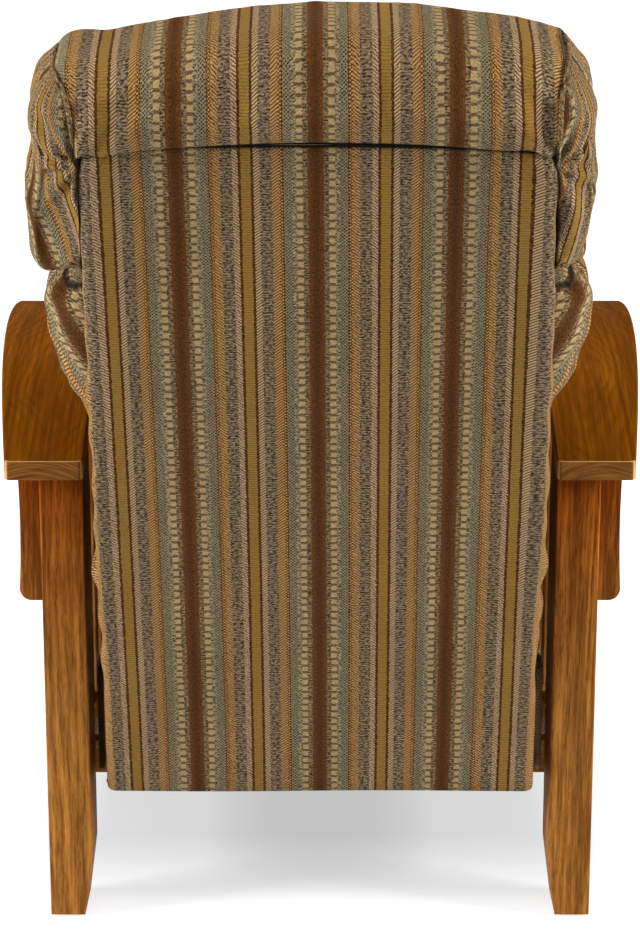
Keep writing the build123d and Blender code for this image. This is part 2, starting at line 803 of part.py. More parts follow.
# Stations from the nose to the rear end: place along the length, how far the sides, the top
# and the underside draw in, and corner round, the last four as shares of the height
cushion_station_shares = (
    (0.0, 0.30, 0.30, 0.50, 0.09),
    (0.010, 0.20, 0.17, 0.44, 0.16),
    (0.028, 0.10, 0.08, 0.30, 0.24),
    (0.058, 0.03, 0.02, 0.10, 0.30),
    (0.095, 0.0, 0.0, 0.0, 0.34),
    (0.25, 0.0, -0.02, 0.0, 0.36),
    (0.50, 0.0, -0.03, 0.0, 0.36),
    (0.80, 0.01, -0.01, 0.0, 0.36),
    (0.93, 0.05, 0.02, 0.0, 0.32),
    (0.98, 0.13, 0.10, 0.06, 0.26),
    (1.0, 0.24, 0.22, 0.16, 0.20),
)
with BuildPart() as seat_cushion:
    for place_share, side_share, top_share, low_share, round_share in cushion_station_shares:
        half_width = cushion_half_width - side_share * cushion_height
        top_z = cushion_top_z - top_share * cushion_height - place_share * cushion_fall
        low_z = cushion_z + low_share * cushion_height
        with BuildSketch(Plane.XZ.offset(-cushion_front_y - place_share * cushion_length)):
            with Locations((0, (top_z + low_z) / 2)):
                RectangleRounded(2 * half_width, top_z - low_z, round_share * cushion_height)
    loft(ruled=True)
    nose_back_y = seat_front_rail_front_y - nose_gap
    with BuildSketch(Plane.YZ):
        with Locations(((nose_back_y + cushion_front_y - overrun) / 2, (nose_low_z + cushion_z) / 2)):
            Rectangle(nose_back_y - cushion_front_y + overrun, nose_low_z - cushion_z)
    extrude(amount=cushion_half_width + overrun, both=True, mode=Mode.SUBTRACT)
write(seat_cushion, "seat_cushion")

# Back frame
post_outer_x = plate_outer_x + seat_gap
post_width = 26.0
post_depth = 54.0
post_low_v = 60.0
top_rail_depth = 26.0  # along v
inner_rail_setback = 8.0
mid_rail_v = 330.0
mid_rail_height = 40.0
bottom_rail_height = 50.0
post_inner_x = post_outer_x - post_width
post_front_t = panel_thickness + post_depth
post_top_v = panel_height - top_rail_depth
rail_front_t = post_front_t - panel_thickness

with BuildPart() as outer_back:
    with BuildSketch(back_face) as outline:
        with BuildLine():
            Polyline(
                (-panel_half_width, 0),
                (panel_half_width, 0),
                (panel_top_half_width, panel_height),
                (-panel_top_half_width, panel_height),
                close=True,
            )
        make_face()
        fillet(outline.vertices().group_by(Axis.Y)[0], side_panel_round)
    extrude(amount=panel_thickness)
write(outer_back, "outer_back_panel")

bracket_bolt_radius = 3.5
bracket_bolt_head_radius = 7.0
bracket_bolt_head_thickness = 2.5
bracket_bolt_grip = 20.0
bracket_pad_radius = 20.0
bracket_bolt_spacing = 110.0
bracket_bolt_t = post_front_t - post_depth / 2
bracket_bolt_low_v = 120.0
bracket_bolt_places = (
    (bracket_bolt_t, bracket_bolt_low_v),
    (bracket_bolt_t, bracket_bolt_low_v + bracket_bolt_spacing),
)

with BuildPart() as back_post:
    with BuildSketch(back_floor.offset(post_low_v)):
        with Locations((post_inner_x + post_width / 2, -(panel_thickness + post_depth / 2))):
            Rectangle(post_width, post_depth)
    extrude(amount=post_top_v - post_low_v)
    with BuildSketch(back_side(post_outer_x)):
        with Locations(*bracket_bolt_places):
            Circle(bracket_bolt_radius)
    extrude(amount=bracket_bolt_grip, mode=Mode.SUBTRACT)
write_pair(back_post, "back_post")

back_rails = (
    ("back_top_rail", post_top_v, panel_height, post_outer_x, panel_thickness),
    (
        "back_middle_rail",
        mid_rail_v,
        mid_rail_v + mid_rail_height,
        post_inner_x,
        panel_thickness + inner_rail_setback,
    ),
    (
        "back_bottom_rail",
        post_low_v,
        post_low_v + bottom_rail_height,
        post_inner_x,
        panel_thickness + inner_rail_setback,
    ),
)
for rail_name, low_v, high_v, half_width, rear_t in back_rails:
    with BuildPart() as back_rail:
        with BuildSketch(back_floor.offset(low_v)):
            with Locations((0, -(rear_t + rail_front_t) / 2)):
                Rectangle(2 * half_width, rail_front_t - rear_t)
        extrude(amount=high_v - low_v)
    write(back_rail, rail_name)

back_spring_count = 4
back_spring_spacing = 96.0
with BuildPart() as back_springs:
    for number in range(back_spring_count):
        spring_x = (number - (back_spring_count - 1) / 2) * back_spring_spacing
        add_spring(
            back_face.offset(rail_front_t + seat_gap + spring_wire_radius),
            spring_x,
            mid_rail_v + 2 * spring_end_margin,
            panel_height - 2 * spring_end_margin,
        )
write(back_springs, "back_springs")

# Padded covers on the sides of the back
side_cover_gap = 6.0  # from the post to the cover, room for the bracket
side_cover_low_v = 40.0
with BuildPart() as side_cover:
    with BuildSketch(back_face.offset(panel_thickness + seat_gap)):
        cover_inner_x = post_outer_x + side_cover_gap
        low_half_width = panel_half_width - panel_narrowing * side_cover_low_v / panel_height
        with BuildLine():
            Polyline(
                (cover_inner_x, side_cover_low_v),
                (low_half_width, side_cover_low_v),
                (panel_top_half_width, panel_height),
                (cover_inner_x, panel_height),
                close=True,
            )
        make_face()
    extrude(amount=post_depth - seat_gap)
write_pair(side_cover, "back_side_cover")

# Back bracket on the post, and its pivot on the ear of the side plate
offset_y = back_pivot_y - rear_leg_back_y
offset_z = back_pivot_z - hem_z
pivot_t = -offset_y * lean_cos + offset_z * lean_sin
pivot_v = offset_y * lean_sin + offset_z * lean_cos
bracket_outer_x = post_outer_x + plate_thickness
with BuildPart() as back_bracket:
    with BuildSketch(back_side(bracket_outer_x)):
        with BuildSketch(mode=Mode.PRIVATE) as rounds:
            with Locations((pivot_t, pivot_v)):
                Circle(plate_ear_radius)
            with Locations(*bracket_bolt_places):
                Circle(bracket_pad_radius)
        make_hull(rounds.sketch.edges())
        with Locations((pivot_t, pivot_v)):
            Circle(pivot_bolt_radius + pivot_clearance, mode=Mode.SUBTRACT)
        with Locations(*bracket_bolt_places):
            Circle(bracket_bolt_radius, mode=Mode.SUBTRACT)
    extrude(amount=plate_thickness)
write_group(back_bracket, "back_brackets")

with BuildPart() as bracket_bolts:
    for place in bracket_bolt_places:
        with BuildSketch(back_side(bracket_outer_x)):
            with Locations(place):
                Circle(bracket_bolt_radius)
        extrude(amount=plate_thickness + bracket_bolt_grip)
        with BuildSketch(back_side(bracket_outer_x)):
            with Locations(place):
                Circle(bracket_bolt_head_radius)
        extrude(amount=-bracket_bolt_head_thickness)
    mirror(about=Plane.YZ)
write(bracket_bolts, "back_bracket_bolts")

with BuildPart() as pivot_bolts:
    with BuildSketch(Plane.YZ.offset(plate_inner_x)):
        with Locations(side_view(back_pivot)):
            Circle(pivot_bolt_radius)
    extrude(amount=bracket_outer_x + seat_gap - plate_inner_x)
    for head_x in (plate_inner_x - pivot_head_thickness, bracket_outer_x + seat_gap):
        with BuildSketch(Plane.YZ.offset(head_x)):
            with Locations(side_view(back_pivot)):
                Circle(pivot_head_radius)
        extrude(amount=pivot_head_thickness)
    mirror(about=Plane.YZ)
write(pivot_bolts, "back_pivot_bolts")

# Head section of the back: it stands in front of the frame and wraps over its top
head_depth = 205.0
head_crown = 106.0  # from the top of the frame to the top of the section
head_height = 294.0
head_round_share = 0.463
head_overhang = 52.0  # past the outer back on each side
head_half_width = panel_half_width + head_overhang
head_top_v = panel_height + head_crown
head_low_v = head_top_v - head_height
# Stations from the middle to the side: place, then how far the rear, the front, the lower
# and the upper faces draw in, as shares of the depth
head_station_shares = (
    (0.0, 0.0, 0.0, 0.0, 0.0),
    (0.25, 0.0, 0.0, 0.0, 0.015),
    (0.45, 0.0, 0.005, 0.0, 0.05),
    (0.63, 0.0, 0.015, 0.01, 0.09),
    (0.77, 0.0, 0.04, 0.03, 0.145),
    (0.86, 0.06, 0.09, 0.07, 0.24),
    (0.93, 0.15, 0.15, 0.15, 0.38),
    (0.975, 0.26, 0.23, 0.27, 0.55),
    (1.0, 0.38, 0.33, 0.44, 0.76),
)
with BuildPart() as head_pillow:
    mirrored = [(-row[0], *row[1:]) for row in head_station_shares[:0:-1]]
    for place_share, rear_share, front_share, low_share, top_share in (*mirrored, *head_station_shares):
        rear_t = rear_share * head_depth
        front_t = head_depth - front_share * head_depth
        low_v = head_low_v + low_share * head_depth
        high_v = head_top_v - top_share * head_depth
        with BuildSketch(back_side(place_share * head_half_width)):
            with Locations(((rear_t + front_t) / 2, (low_v + high_v) / 2)):
                RectangleRounded(
                    front_t - rear_t,
                    high_v - low_v,
                    head_round_share * min(front_t - rear_t, high_v - low_v),
                )
    loft(ruled=True)
    with BuildSketch(back_floor.offset(head_low_v - overrun)):
        with Locations((0, -(post_front_t + seat_gap - overrun) / 2)):
            Rectangle(2 * (panel_half_width + seat_gap), post_front_t + seat_gap + overrun)
    extrude(amount=panel_height + seat_gap - head_low_v + overrun, mode=Mode.SUBTRACT)
write(head_pillow, "head_pillow")

# Lumbar section: narrow between the arms, wide above them
lumbar_half_width = head_half_width
lumbar_depth = 180.0
lumbar_low_v = 245.0
lumbar_high_v = head_low_v - 2 * seat_gap
lumbar_round_share = 0.42
# Stations from the lower end upwards: place along the height, half width as a share of the
# widest, and how far the rear and the front faces draw in, as shares of the depth
lumbar_station_shares = (
    (0.0, 0.75, 0.06, 0.44),
    (0.06, 0.80, 0.0, 0.28),
    (0.28, 0.828, 0.0, 0.10),
    (0.47, 0.832, 0.0, 0.04),
    (0.60, 0.875, 0.0, 0.01),
    (0.71, 0.955, 0.0, 0.0),
    (0.84, 1.0, 0.0, 0.0),
    (0.955, 0.985, 0.01, 0.06),
    (1.0, 0.93, 0.08, 0.16),
)
with BuildPart() as lumbar_pillow:
    for place_share, width_share, rear_share, front_share in lumbar_station_shares:
        rear_t = post_front_t + seat_gap + rear_share * lumbar_depth
        front_t = post_front_t + seat_gap + lumbar_depth * (1 - front_share)
        station_v = lumbar_low_v + place_share * (lumbar_high_v - lumbar_low_v)
        with BuildSketch(back_floor.offset(station_v)):
            with Locations((0, -(rear_t + front_t) / 2)):
                RectangleRounded(
                    2 * width_share * lumbar_half_width,
                    front_t - rear_t,
                    lumbar_round_share * (front_t - rear_t),
                )
    loft(ruled=True)
write(lumbar_pillow, "lumbar_pillow")
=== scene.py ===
import json
from math import cos, pi, radians, sin

import bpy
import numpy as np
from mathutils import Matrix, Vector


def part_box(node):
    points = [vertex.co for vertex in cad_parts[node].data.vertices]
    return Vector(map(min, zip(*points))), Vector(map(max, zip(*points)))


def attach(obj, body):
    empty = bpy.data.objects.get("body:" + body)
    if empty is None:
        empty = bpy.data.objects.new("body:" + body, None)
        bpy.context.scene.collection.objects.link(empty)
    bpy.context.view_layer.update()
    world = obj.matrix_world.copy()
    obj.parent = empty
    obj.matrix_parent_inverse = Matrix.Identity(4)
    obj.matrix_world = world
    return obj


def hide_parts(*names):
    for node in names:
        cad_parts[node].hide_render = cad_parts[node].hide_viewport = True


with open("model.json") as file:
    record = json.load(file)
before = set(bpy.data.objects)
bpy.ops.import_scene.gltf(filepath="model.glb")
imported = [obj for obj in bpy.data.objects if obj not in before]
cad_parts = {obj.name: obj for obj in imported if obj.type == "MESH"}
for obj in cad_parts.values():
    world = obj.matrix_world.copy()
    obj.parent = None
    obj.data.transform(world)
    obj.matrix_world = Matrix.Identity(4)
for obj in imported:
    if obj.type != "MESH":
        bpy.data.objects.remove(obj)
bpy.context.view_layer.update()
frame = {"nodes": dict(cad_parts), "record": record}
scene = bpy.context.scene
scene.view_settings.view_transform = "Standard"

# Places read from the frame, in metres
panel_low, panel_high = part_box("outer_back_panel")
leg_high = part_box("rear_leg_left")[1]
back_lean = radians(16.7)
lean_sin = sin(back_lean)
lean_cos = cos(back_lean)
hem_y = leg_high.y
hem_z = panel_low.z
panel_half_width = panel_high.x
head_half_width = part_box("head_pillow")[1].x

# The back in its own frame: t forward from the outer back's surface, v up along it
seam_v = 0.8285
seam_fall = 0.011  # of the seam from the middle to the sides
hem_sag = 0.0055  # of the outer back's hem below the panel under it
pocket_t = 0.0608  # the front of the back frame
head_top_v = 0.932
head_depth = 0.205
head_low_v = 0.638
lumbar_low_v = 0.245
lumbar_front_t = 0.240


def back_points(x, t, v):
    """World points of places given across, through and along the back."""
    x, t, v = np.broadcast_arrays(x, t, v)
    y = hem_y - t * lean_cos + v * lean_sin
    z = hem_z + t * lean_sin + v * lean_cos
    return np.stack([x, y, z], axis=-1)


def ease(value, start, end):
    """Rises smoothly from 0 at start to 1 at end."""
    share = np.clip((value - start) / (end - start), 0, 1)
    return share * share * (3 - 2 * share)


def hump(value, centre, width):
    """A smooth bump of height 1."""
    return np.exp(-(((value - centre) / width) ** 2))


def ripple(points, length, seed):
    """Smooth irregular waves between about -1 and 1, of about this length, the same each run."""
    wave_count = 7
    draw = np.random.default_rng(seed)
    total = np.zeros(points.shape[:-1])
    for _ in range(wave_count):
        heading = draw.normal(size=3)
        heading *= 2 * pi / (length * draw.uniform(0.7, 1.5) * np.linalg.norm(heading))
        total += np.sin(points @ heading + draw.uniform(0, 2 * pi))
    return total / wave_count**0.5


# Materials


def colour(red, green, blue):
    """Linear colour of an sRGB one given from 0 to 255."""

    def linear(level):
        return level / 12.92 if level < 0.04045 else ((level + 0.055) / 1.055) ** 2.4

    return [*(linear(level / 255) for level in (red, green, blue)), 1.0]


class Shading:
    """One material's nodes. Inputs are sockets or plain values, and None leaves one as it is."""

    def __init__(self, name):
        self.material = bpy.data.materials.new(name)
        self.material.use_nodes = True
        self.tree = self.material.node_tree
        self.tree.nodes.clear()

    def feed(self, socket, value):
        """Links another socket to this one, or sets a plain value on it."""
        if isinstance(value, bpy.types.NodeSocket):
            self.tree.links.new(value, socket)
        else:
            socket.default_value = value

    def node(self, kind, *inputs, out=0, named=None, **settings):
        made = self.tree.nodes.new("ShaderNode" + kind)
        for key, value in settings.items():
            setattr(made, key, value)
        for socket, value in zip(made.inputs, inputs):
            if value is not None:
                self.feed(socket, value)
        for key, value in (named or {}).items():
            self.feed(made.inputs[key], value)
        return made.outputs[out] if made.outputs else None

    def object_place(self):
        """The place in the object's own coordinates, in metres."""
        return self.node("TexCoord", out=3)

    def vector(self, *numbers):
        return self.node("CombineXYZ", *numbers)

    def axes(self, vector):
        """The three numbers of a vector."""
        return self.node("SeparateXYZ", vector).node.outputs

    def measure(self, operation, *inputs):
        """The number that a vector operation gives."""
        return self.node("VectorMath", *inputs, operation=operation, out=1)

    def math(self, operation, *inputs):
        return self.node("Math", *inputs, operation=operation)

    def times(self, first, second):
        return self.math("MULTIPLY", first, second)

    def plus(self, first, second):
        return self.math("ADD", first, second)

    def minus(self, first, second):
        return self.math("SUBTRACT", first, second)

    def ramp(self, factor, stops, interpolation="CONSTANT"):
        """A colour ramp of (place, colour) stops."""
        socket = self.node("ValToRGB", factor)
        ramp = socket.node.color_ramp
        ramp.interpolation = interpolation
        for number, (place, tint) in enumerate(stops):
            stop = ramp.elements[number] if number < 2 else ramp.elements.new(place)
            stop.position = place
            stop.color = tint
        return socket

    def mix(self, factor, first, second, blend="MIX"):
        made = self.tree.nodes.new("ShaderNodeMix")
        made.data_type = "RGBA"
        made.blend_type = blend
        for index, value in ((0, factor), (6, first), (7, second)):
            self.feed(made.inputs[index], value)
        return made.outputs[2]

    def noise(self, place, scale, detail=2.0, roughness=0.5):
        named = {"Vector": place, "Scale": scale, "Detail": detail, "Roughness": roughness}
        return self.node("TexNoise", named=named)

    def stretched(self, place, x, y, z):
        """The place with each axis scaled."""
        return self.node("VectorMath", place, (x, y, z), operation="MULTIPLY")

    def spread(self, value, low, high, new_low=0.0, new_high=1.0):
        return self.node("MapRange", value, low, high, new_low, new_high)

    def surface(self, tint, roughness, height=None, bump_distance=0.0, bump_strength=1.0, **fixed):
        """The finished surface. Fixed values go on the shader's own sockets."""
        named = {"Base Color": tint, "Roughness": roughness}
        named.update({key.replace("_", " "): value for key, value in fixed.items()})
        if height is not None:
            bump = {"Height": height, "Distance": bump_distance, "Strength": bump_strength}
            named["Normal"] = self.node("Bump", named=bump)
        shader = self.node("BsdfPrincipled", named=named)
        self.node("OutputMaterial", shader)
        return self.material


stripe_period = 0.143
# Lengths of the weave's marks
knit_length = 0.0034
dot_spacing = 0.0092
dash_width = 0.0040
dash_length = 0.0036
rib_length = 0.0029
# Bands of half a period, from the middle of the brown stripe to the middle of the olive one: end of
# the band as a share, its colour, the colour of its marks, and the weight of each kind of mark:
# knit, dots, dashes, then nap, streaks, ribs
fabric_bands = (
    (0.111, (134, 82, 25), (50, 27, 5), (0, 0, 0), (0.0, 1.0, 0)),  # brown chenille
    (0.186, (158, 133, 97), (48, 38, 26), (0, 0, 0), (0.85, 0, 0.3)),  # dark grey
    (0.275, (188, 162, 118), (98, 78, 50), (0.15, 0.85, 0), (0.3, 0, 0)),  # cream dots
    (0.342, (174, 158, 124), (58, 50, 37), (0.3, 0, 0), (0.8, 0, 0)),  # green grey
    (0.461, (152, 139, 110), (52, 45, 34), (0, 0, 0.95), (0.3, 0, 0)),  # braid
    (0.476, (84, 52, 22), (50, 30, 12), (0, 0, 0), (0.5, 0, 0)),  # dark line
    (0.527, (102, 58, 14), (206, 160, 98), (0, 0, 1.0), (0, 0, 0)),  # dotted line
    (0.631, (190, 147, 92), (84, 55, 26), (1.0, 0, 0), (0.25, 0, 0)),  # gold knit
    (0.802, (158, 136, 109), (34, 27, 19), (0, 0, 0), (0.8, 0, 0.35)),  # grey chenille
    (0.889, (194, 164, 128), (86, 63, 42), (1.0, 0, 0), (0.2, 0, 0)),  # beige knit
    (0.929, (100, 58, 12), (40, 20, 3), (0, 0, 0), (0.8, 0, 0)),  # border
    (1.0, (156, 121, 57), (104, 76, 27), (0, 0, 0), (0.2, 0, 0.45)),  # olive
)


def stripe_material():
    """The woven stripe. Its coordinates are the metres across and along the cloth in the map "cloth",
    and the map "seam" holds each place's distance from the nearest seam."""
    shading = Shading("striped_fabric")
    cloth = shading.node("UVMap", uv_map="cloth")
    from_seam = shading.axes(shading.node("UVMap", uv_map="seam"))[0]
    jagged = shading.noise(cloth, 330.0, 2.0)
    split = shading.axes(cloth)
    across = shading.plus(split[0], shading.spread(jagged, 0.2, 0.8, -0.0010, 0.0010))
    along = shading.plus(split[1], shading.spread(jagged, 0.2, 0.8, 0.0006, -0.0006))
    turn = shading.math("FRACT", shading.plus(shading.math("DIVIDE", across, stripe_period), 0.5))
    place = shading.times(shading.math("ABSOLUTE", shading.minus(turn, 0.5)), 2.0)
    starts = [0.0] + [band[0] for band in fabric_bands[:-1]]

    def banded(column, read):
        """A ramp that holds one column of the bands."""
        stops = [(start, read(*band[column])) for start, band in zip(starts, fabric_bands)]
        return shading.ramp(place, stops)

    def weights(*levels):
        return (*levels, 1)

    def wave(value, length):
        return shading.math("SINE", shading.times(value, 2 * pi / length))

    base = banded(1, colour)
    mark = banded(2, colour)
    first_weights = banded(3, weights)
    second_weights = banded(4, weights)
    slant = shading.plus(along, shading.times(place, 0.75 * stripe_period / 2))
    knit = shading.spread(wave(slant, knit_length), 0.0, 1.0)
    dots = shading.spread(wave(along, dot_spacing), -0.35, -0.75)
    stagger = shading.times(wave(across, dash_width), wave(along, dash_length))
    dashes = shading.spread(stagger, 0.02, 0.45)
    nap = shading.noise(shading.stretched(cloth, 0.45, 1.0, 1.0), 520.0, 2.0, 0.7)
    nap = shading.spread(nap, 0.45, 0.58)
    streaks = shading.noise(shading.stretched(cloth, 1.0, 0.45, 1.0), 760.0, 3.0, 0.7)
    streaks = shading.spread(streaks, 0.40, 0.66)
    ribs = shading.spread(wave(along, rib_length), -0.4, 1.0)
    first = shading.vector(knit, dots, dashes)
    second = shading.vector(nap, streaks, ribs)
    marks = shading.plus(
        shading.measure("DOT_PRODUCT", first, first_weights),
        shading.measure("DOT_PRODUCT", second, second_weights),
    )
    marks = shading.math("MINIMUM", marks, 1.0)
    tint = shading.mix(marks, base, mark)
    # The middle of the brown stripe is darker
    tint = shading.mix(shading.spread(place, 0.02, 0.105, 0.5, 0.0), tint, colour(44, 26, 6))
    fibres = shading.noise(cloth, 1500.0, 2.0, 0.8)
    tint = shading.mix(shading.spread(fibres, 0.36, 0.66, 0.42, 0.0), tint, colour(60, 48, 34), "MULTIPLY")
    tint = shading.mix(1.0, tint, colour(251, 247, 235), "MULTIPLY")
    patches = shading.noise(cloth, 9.0, 3.0)
    tint = shading.mix(shading.spread(patches, 0.35, 0.7, 0.14, 0.0), tint, colour(96, 84, 66), "MULTIPLY")

    # Painted shade: the cloth goes nearly black within a few millimetres of each seam, standing in for the
    # shadow in its groove; the bump also presses the groove in
    groove = shading.spread(from_seam, 0.0022, 0.0052, 1.0, 0.0)
    near = shading.spread(from_seam, 0.002, 0.024, 1.0, 0.0)
    pucker = shading.times(shading.noise(shading.object_place(), 105.0, 1.0), near)
    tint = shading.mix(shading.times(groove, 0.95), tint, colour(26, 18, 10))
    height = shading.minus(shading.times(fibres, 0.5), marks)
    height = shading.plus(height, shading.times(pucker, 6.0))
    height = shading.minus(height, shading.times(groove, 3.0))
    return shading.surface(
        tint,
        0.92,
        height,
        0.0016,
        0.9,
        Sheen_Weight=0.04,
        Sheen_Roughness=0.5,
        Sheen_Tint=colour(235, 225, 205),
        Specular_IOR_Level=0.06,
    )


arm_bow_centre = (0.0, leg_high.y + 0.020 - 0.411, 0.650 - 1.060)
arm_heart = (0.322, 0.06)  # middle of the arms' flat-sawn loops, across and along
loop_flatness = 0.20
ring_spacing = 0.0085
# How the arms' oak differs from the frame's: how far the grain is drawn out, the pores' strength off and
# on the rings, the range of the tones, the depth of rings and pores, and how far the arrises are worn and
# lit by a painted highlight
arm_cut = dict(drawn_out=0.025, pores=(0.35, 0.7), tones=(0.36, 0.64), rings=0.35, pore_depth=0.35, arris_wear_and_highlight=0.45)
frame_cut = dict(drawn_out=0.055, pores=(0.55, 1.0), tones=(0.39, 0.61), rings=0.5, pore_depth=0.6, arris_wear_and_highlight=0.08)


def oak_material(name, grain_axis, tones, arm=False):
    """Stained oak with its grain along one axis: rings, open pores, clouds, and worn arrises with a painted
    highlight. The arms have flat-sawn loops and sawn end grain. Tones are the light, middle and deep colours."""
    shading = Shading(name)
    cut = arm_cut if arm else frame_cut
    place = shading.object_place()
    split = shading.axes(place)
    if arm:
        from_bow = shading.measure("DISTANCE", shading.stretched(place, 0, 1, 1), arm_bow_centre)
        place = shading.vector(split[0], split[1], from_bow)

    def drawn_out(share):
        """The place with the grain's axis scaled down."""
        return shading.stretched(place, *(share if axis == grain_axis else 1 for axis in "XYZ"))

    along = drawn_out(cut["drawn_out"])
    if arm:
        across = shading.minus(shading.math("ABSOLUTE", split[0]), arm_heart[0])
        wander = shading.noise(shading.stretched(place, 0.6, 0.5, 1.0), 14.0, 1.0)
        sway = shading.spread(wander, 0.2, 0.8, -0.022, 0.022)
        length = shading.times(shading.minus(split[1], arm_heart[1]), loop_flatness)
        radius = shading.measure("LENGTH", shading.vector(shading.plus(across, sway), length))
        rings = shading.math("SINE", shading.times(radius, 2 * pi / ring_spacing))
        rings = shading.spread(rings, -1.0, 1.0)
    else:
        bend = shading.spread(shading.noise(along, 9.0, 2.0), 0.0, 1.0, -0.05, 0.05)
        rings = shading.node(
            "TexWave",
            shading.node("VectorMath", along, bend, operation="ADD"),
            named={"Scale": 40.0, "Distortion": 4.0, "Detail": 3.0, "Detail Scale": 1.6},
            out=1,
            bands_direction="DIAGONAL",
        )
    pores = shading.noise(drawn_out(0.025 if grain_axis == "Y" else 0.07), 700.0, 2.0, 0.7)
    pore_marks = shading.spread(pores, 0.50, 0.57)
    early = shading.times(pore_marks, shading.spread(rings, 0.2, 0.9, *cut["pores"]))
    tone = shading.noise(along, 42.0, 4.0, 0.6)
    streaks = shading.noise(along, 230.0, 2.0, 0.6)
    light_tint, mid_tint, deep_tint = (colour(*tint) for tint in tones)
    pore_tint = colour(*(level * 0.5 for level in tones[2]))
    blend = shading.plus(shading.times(tone, 0.5), shading.times(streaks, 0.5))
    stops = [(0.0, deep_tint), (0.5, mid_tint), (1.0, light_tint)]
    wood = shading.ramp(shading.spread(blend, *cut["tones"]), stops, "LINEAR")
    wood = shading.mix(shading.spread(rings, 0.0, 1.0, 0.0, cut["rings"]), wood, deep_tint)
    wood = shading.mix(shading.times(early, cut["pore_depth"]), wood, pore_tint)
    clouds = shading.noise(place, 6.0, 3.0)
    wood = shading.mix(shading.spread(clouds, 0.35, 0.7, 0.2, 0.0), wood, colour(150, 100, 50), "MULTIPLY")
    # Worn arrises with a painted highlight: sharp edges are lightened towards a light tan
    arris = shading.node("NewGeometry", out=7)
    wood = shading.mix(shading.spread(arris, 0.53, 0.60, 0.0, cut["arris_wear_and_highlight"]), wood, colour(196, 138, 74))
    if grain_axis == "Z":
        # Painted shade: the upright pieces are deeper in colour towards their tops, where shade falls under
        # the arms
        wood = shading.mix(shading.spread(split[2], 0.26, 0.58), wood, colour(205, 144, 26), "MULTIPLY")
    if arm:
        facing = shading.axes(shading.node("NewGeometry", out=1))[1]
        sawn = shading.spread(shading.math("ABSOLUTE", facing), 0.90, 0.95)
        curve = shading.times(shading.times(across, across), 5.0)
        height = shading.plus(from_bow, curve)
        layered = shading.vector(shading.times(split[0], 0.06), 0.0, height)
        blend = shading.noise(layered, 330.0, 3.0, 0.65)
        stops = [(0.0, colour(80, 47, 17)), (1.0, colour(128, 84, 37))]
        wood = shading.mix(sawn, wood, shading.ramp(shading.spread(blend, 0.34, 0.66), stops, "LINEAR"))
        # Painted highlight: a light tan line along the arm's upper rear edge, picked out by which way the
        # surface faces
        upper = shading.spread(facing, 0.48, 0.62)
        edge = shading.times(upper, shading.spread(facing, 0.86, 0.93, 1.0, 0.0))
        wood = shading.mix(shading.times(edge, 0.55), wood, colour(206, 158, 104))
    rough = shading.spread(pores, 0.4, 0.7, 0.42, 0.60)
    return shading.surface(wood, rough, shading.times(early, -1.0), 0.0003, 0.6, Specular_IOR_Level=0.012)


def timber_material():
    """Plain frame timber, seen only from below or through gaps."""
    shading = Shading("frame_timber")
    place = shading.object_place()
    grain = shading.noise(shading.stretched(place, 0.08, 1.0, 1.0), 220.0, 4.0, 0.6)
    stops = [(0.0, colour(168, 130, 84)), (1.0, colour(206, 172, 124))]
    tint = shading.ramp(shading.spread(grain, 0.3, 0.7), stops, "LINEAR")
    return shading.surface(tint, shading.spread(grain, 0.2, 0.8, 0.6, 0.8), grain, 0.0003, 0.4)


def metal_material(name, light, dark, roughness, metallic):
    """Metal with a slightly uneven finish and rubbed spots."""
    shading = Shading(name)
    place = shading.object_place()
    mottle = shading.noise(place, 160.0, 4.0, 0.6)
    stops = [(0.0, colour(*dark)), (1.0, colour(*light))]
    tint = shading.ramp(shading.spread(mottle, 0.3, 0.7), stops, "LINEAR")
    rough = shading.spread(mottle, 0.2, 0.8, roughness - 0.08, roughness + 0.12)
    fine = shading.noise(place, 2200.0, 2.0)
    return shading.surface(tint, rough, fine, 0.0001, 0.4, Metallic=metallic)


def lining_material():
    """Plain woven lining cloth."""
    thread_spacing = 0.0016
    shading = Shading("deck_cloth")
    place = shading.object_place()
    split = shading.axes(place)
    threads = [
        shading.math("SINE", shading.times(split[axis], 2 * pi / thread_spacing)) for axis in (0, 1)
    ]
    weave = shading.times(*threads)
    fluff = shading.noise(place, 300.0, 3.0)
    tint = shading.mix(shading.spread(fluff, 0.3, 0.7), colour(38, 35, 32), colour(58, 54, 50))
    return shading.surface(tint, 0.95, shading.plus(weave, fluff), 0.0004, 0.6, Sheen_Weight=0.2)


def nylon_material():
    """Dark moulded nylon."""
    shading = Shading("nylon")
    place = shading.object_place()
    speckle = shading.noise(place, 700.0, 3.0, 0.7)
    tint = shading.mix(shading.spread(speckle, 0.35, 0.65), colour(34, 31, 28), colour(52, 48, 44))
    return shading.surface(tint, shading.spread(speckle, 0.2, 0.8, 0.45, 0.65), speckle, 0.0002, 0.5)


leg_tones = ((176, 118, 50), (148, 95, 37), (100, 58, 18))
arm_tones = ((127, 73, 7), (110, 60, 4), (88, 46, 3))
oak_along = {axis: oak_material("oak_" + axis, axis, leg_tones) for axis in "XYZ"}
oak_arm = oak_material("oak_arm", "Y", arm_tones, arm=True)
slot_materials = {
    "frame_timber": timber_material(),
    "mechanism_steel": metal_material("mechanism_steel", (44, 44, 46), (24, 24, 25), 0.42, 0.35),
    "zinc_fasteners": metal_material("zinc_fasteners", (186, 186, 180), (150, 150, 146), 0.34, 0.9),
    "nylon": nylon_material(),
    "striped_fabric": stripe_material(),
    "deck_cloth": lining_material(),
}
# The oak for pieces whose names start like this; the others stand upright
oak_grain_starts = (
    ("arm", oak_arm),
    ("side", oak_along["Y"]),
    ("front_cross", oak_along["X"]),
    ("rear_cross", oak_along["X"]),
)


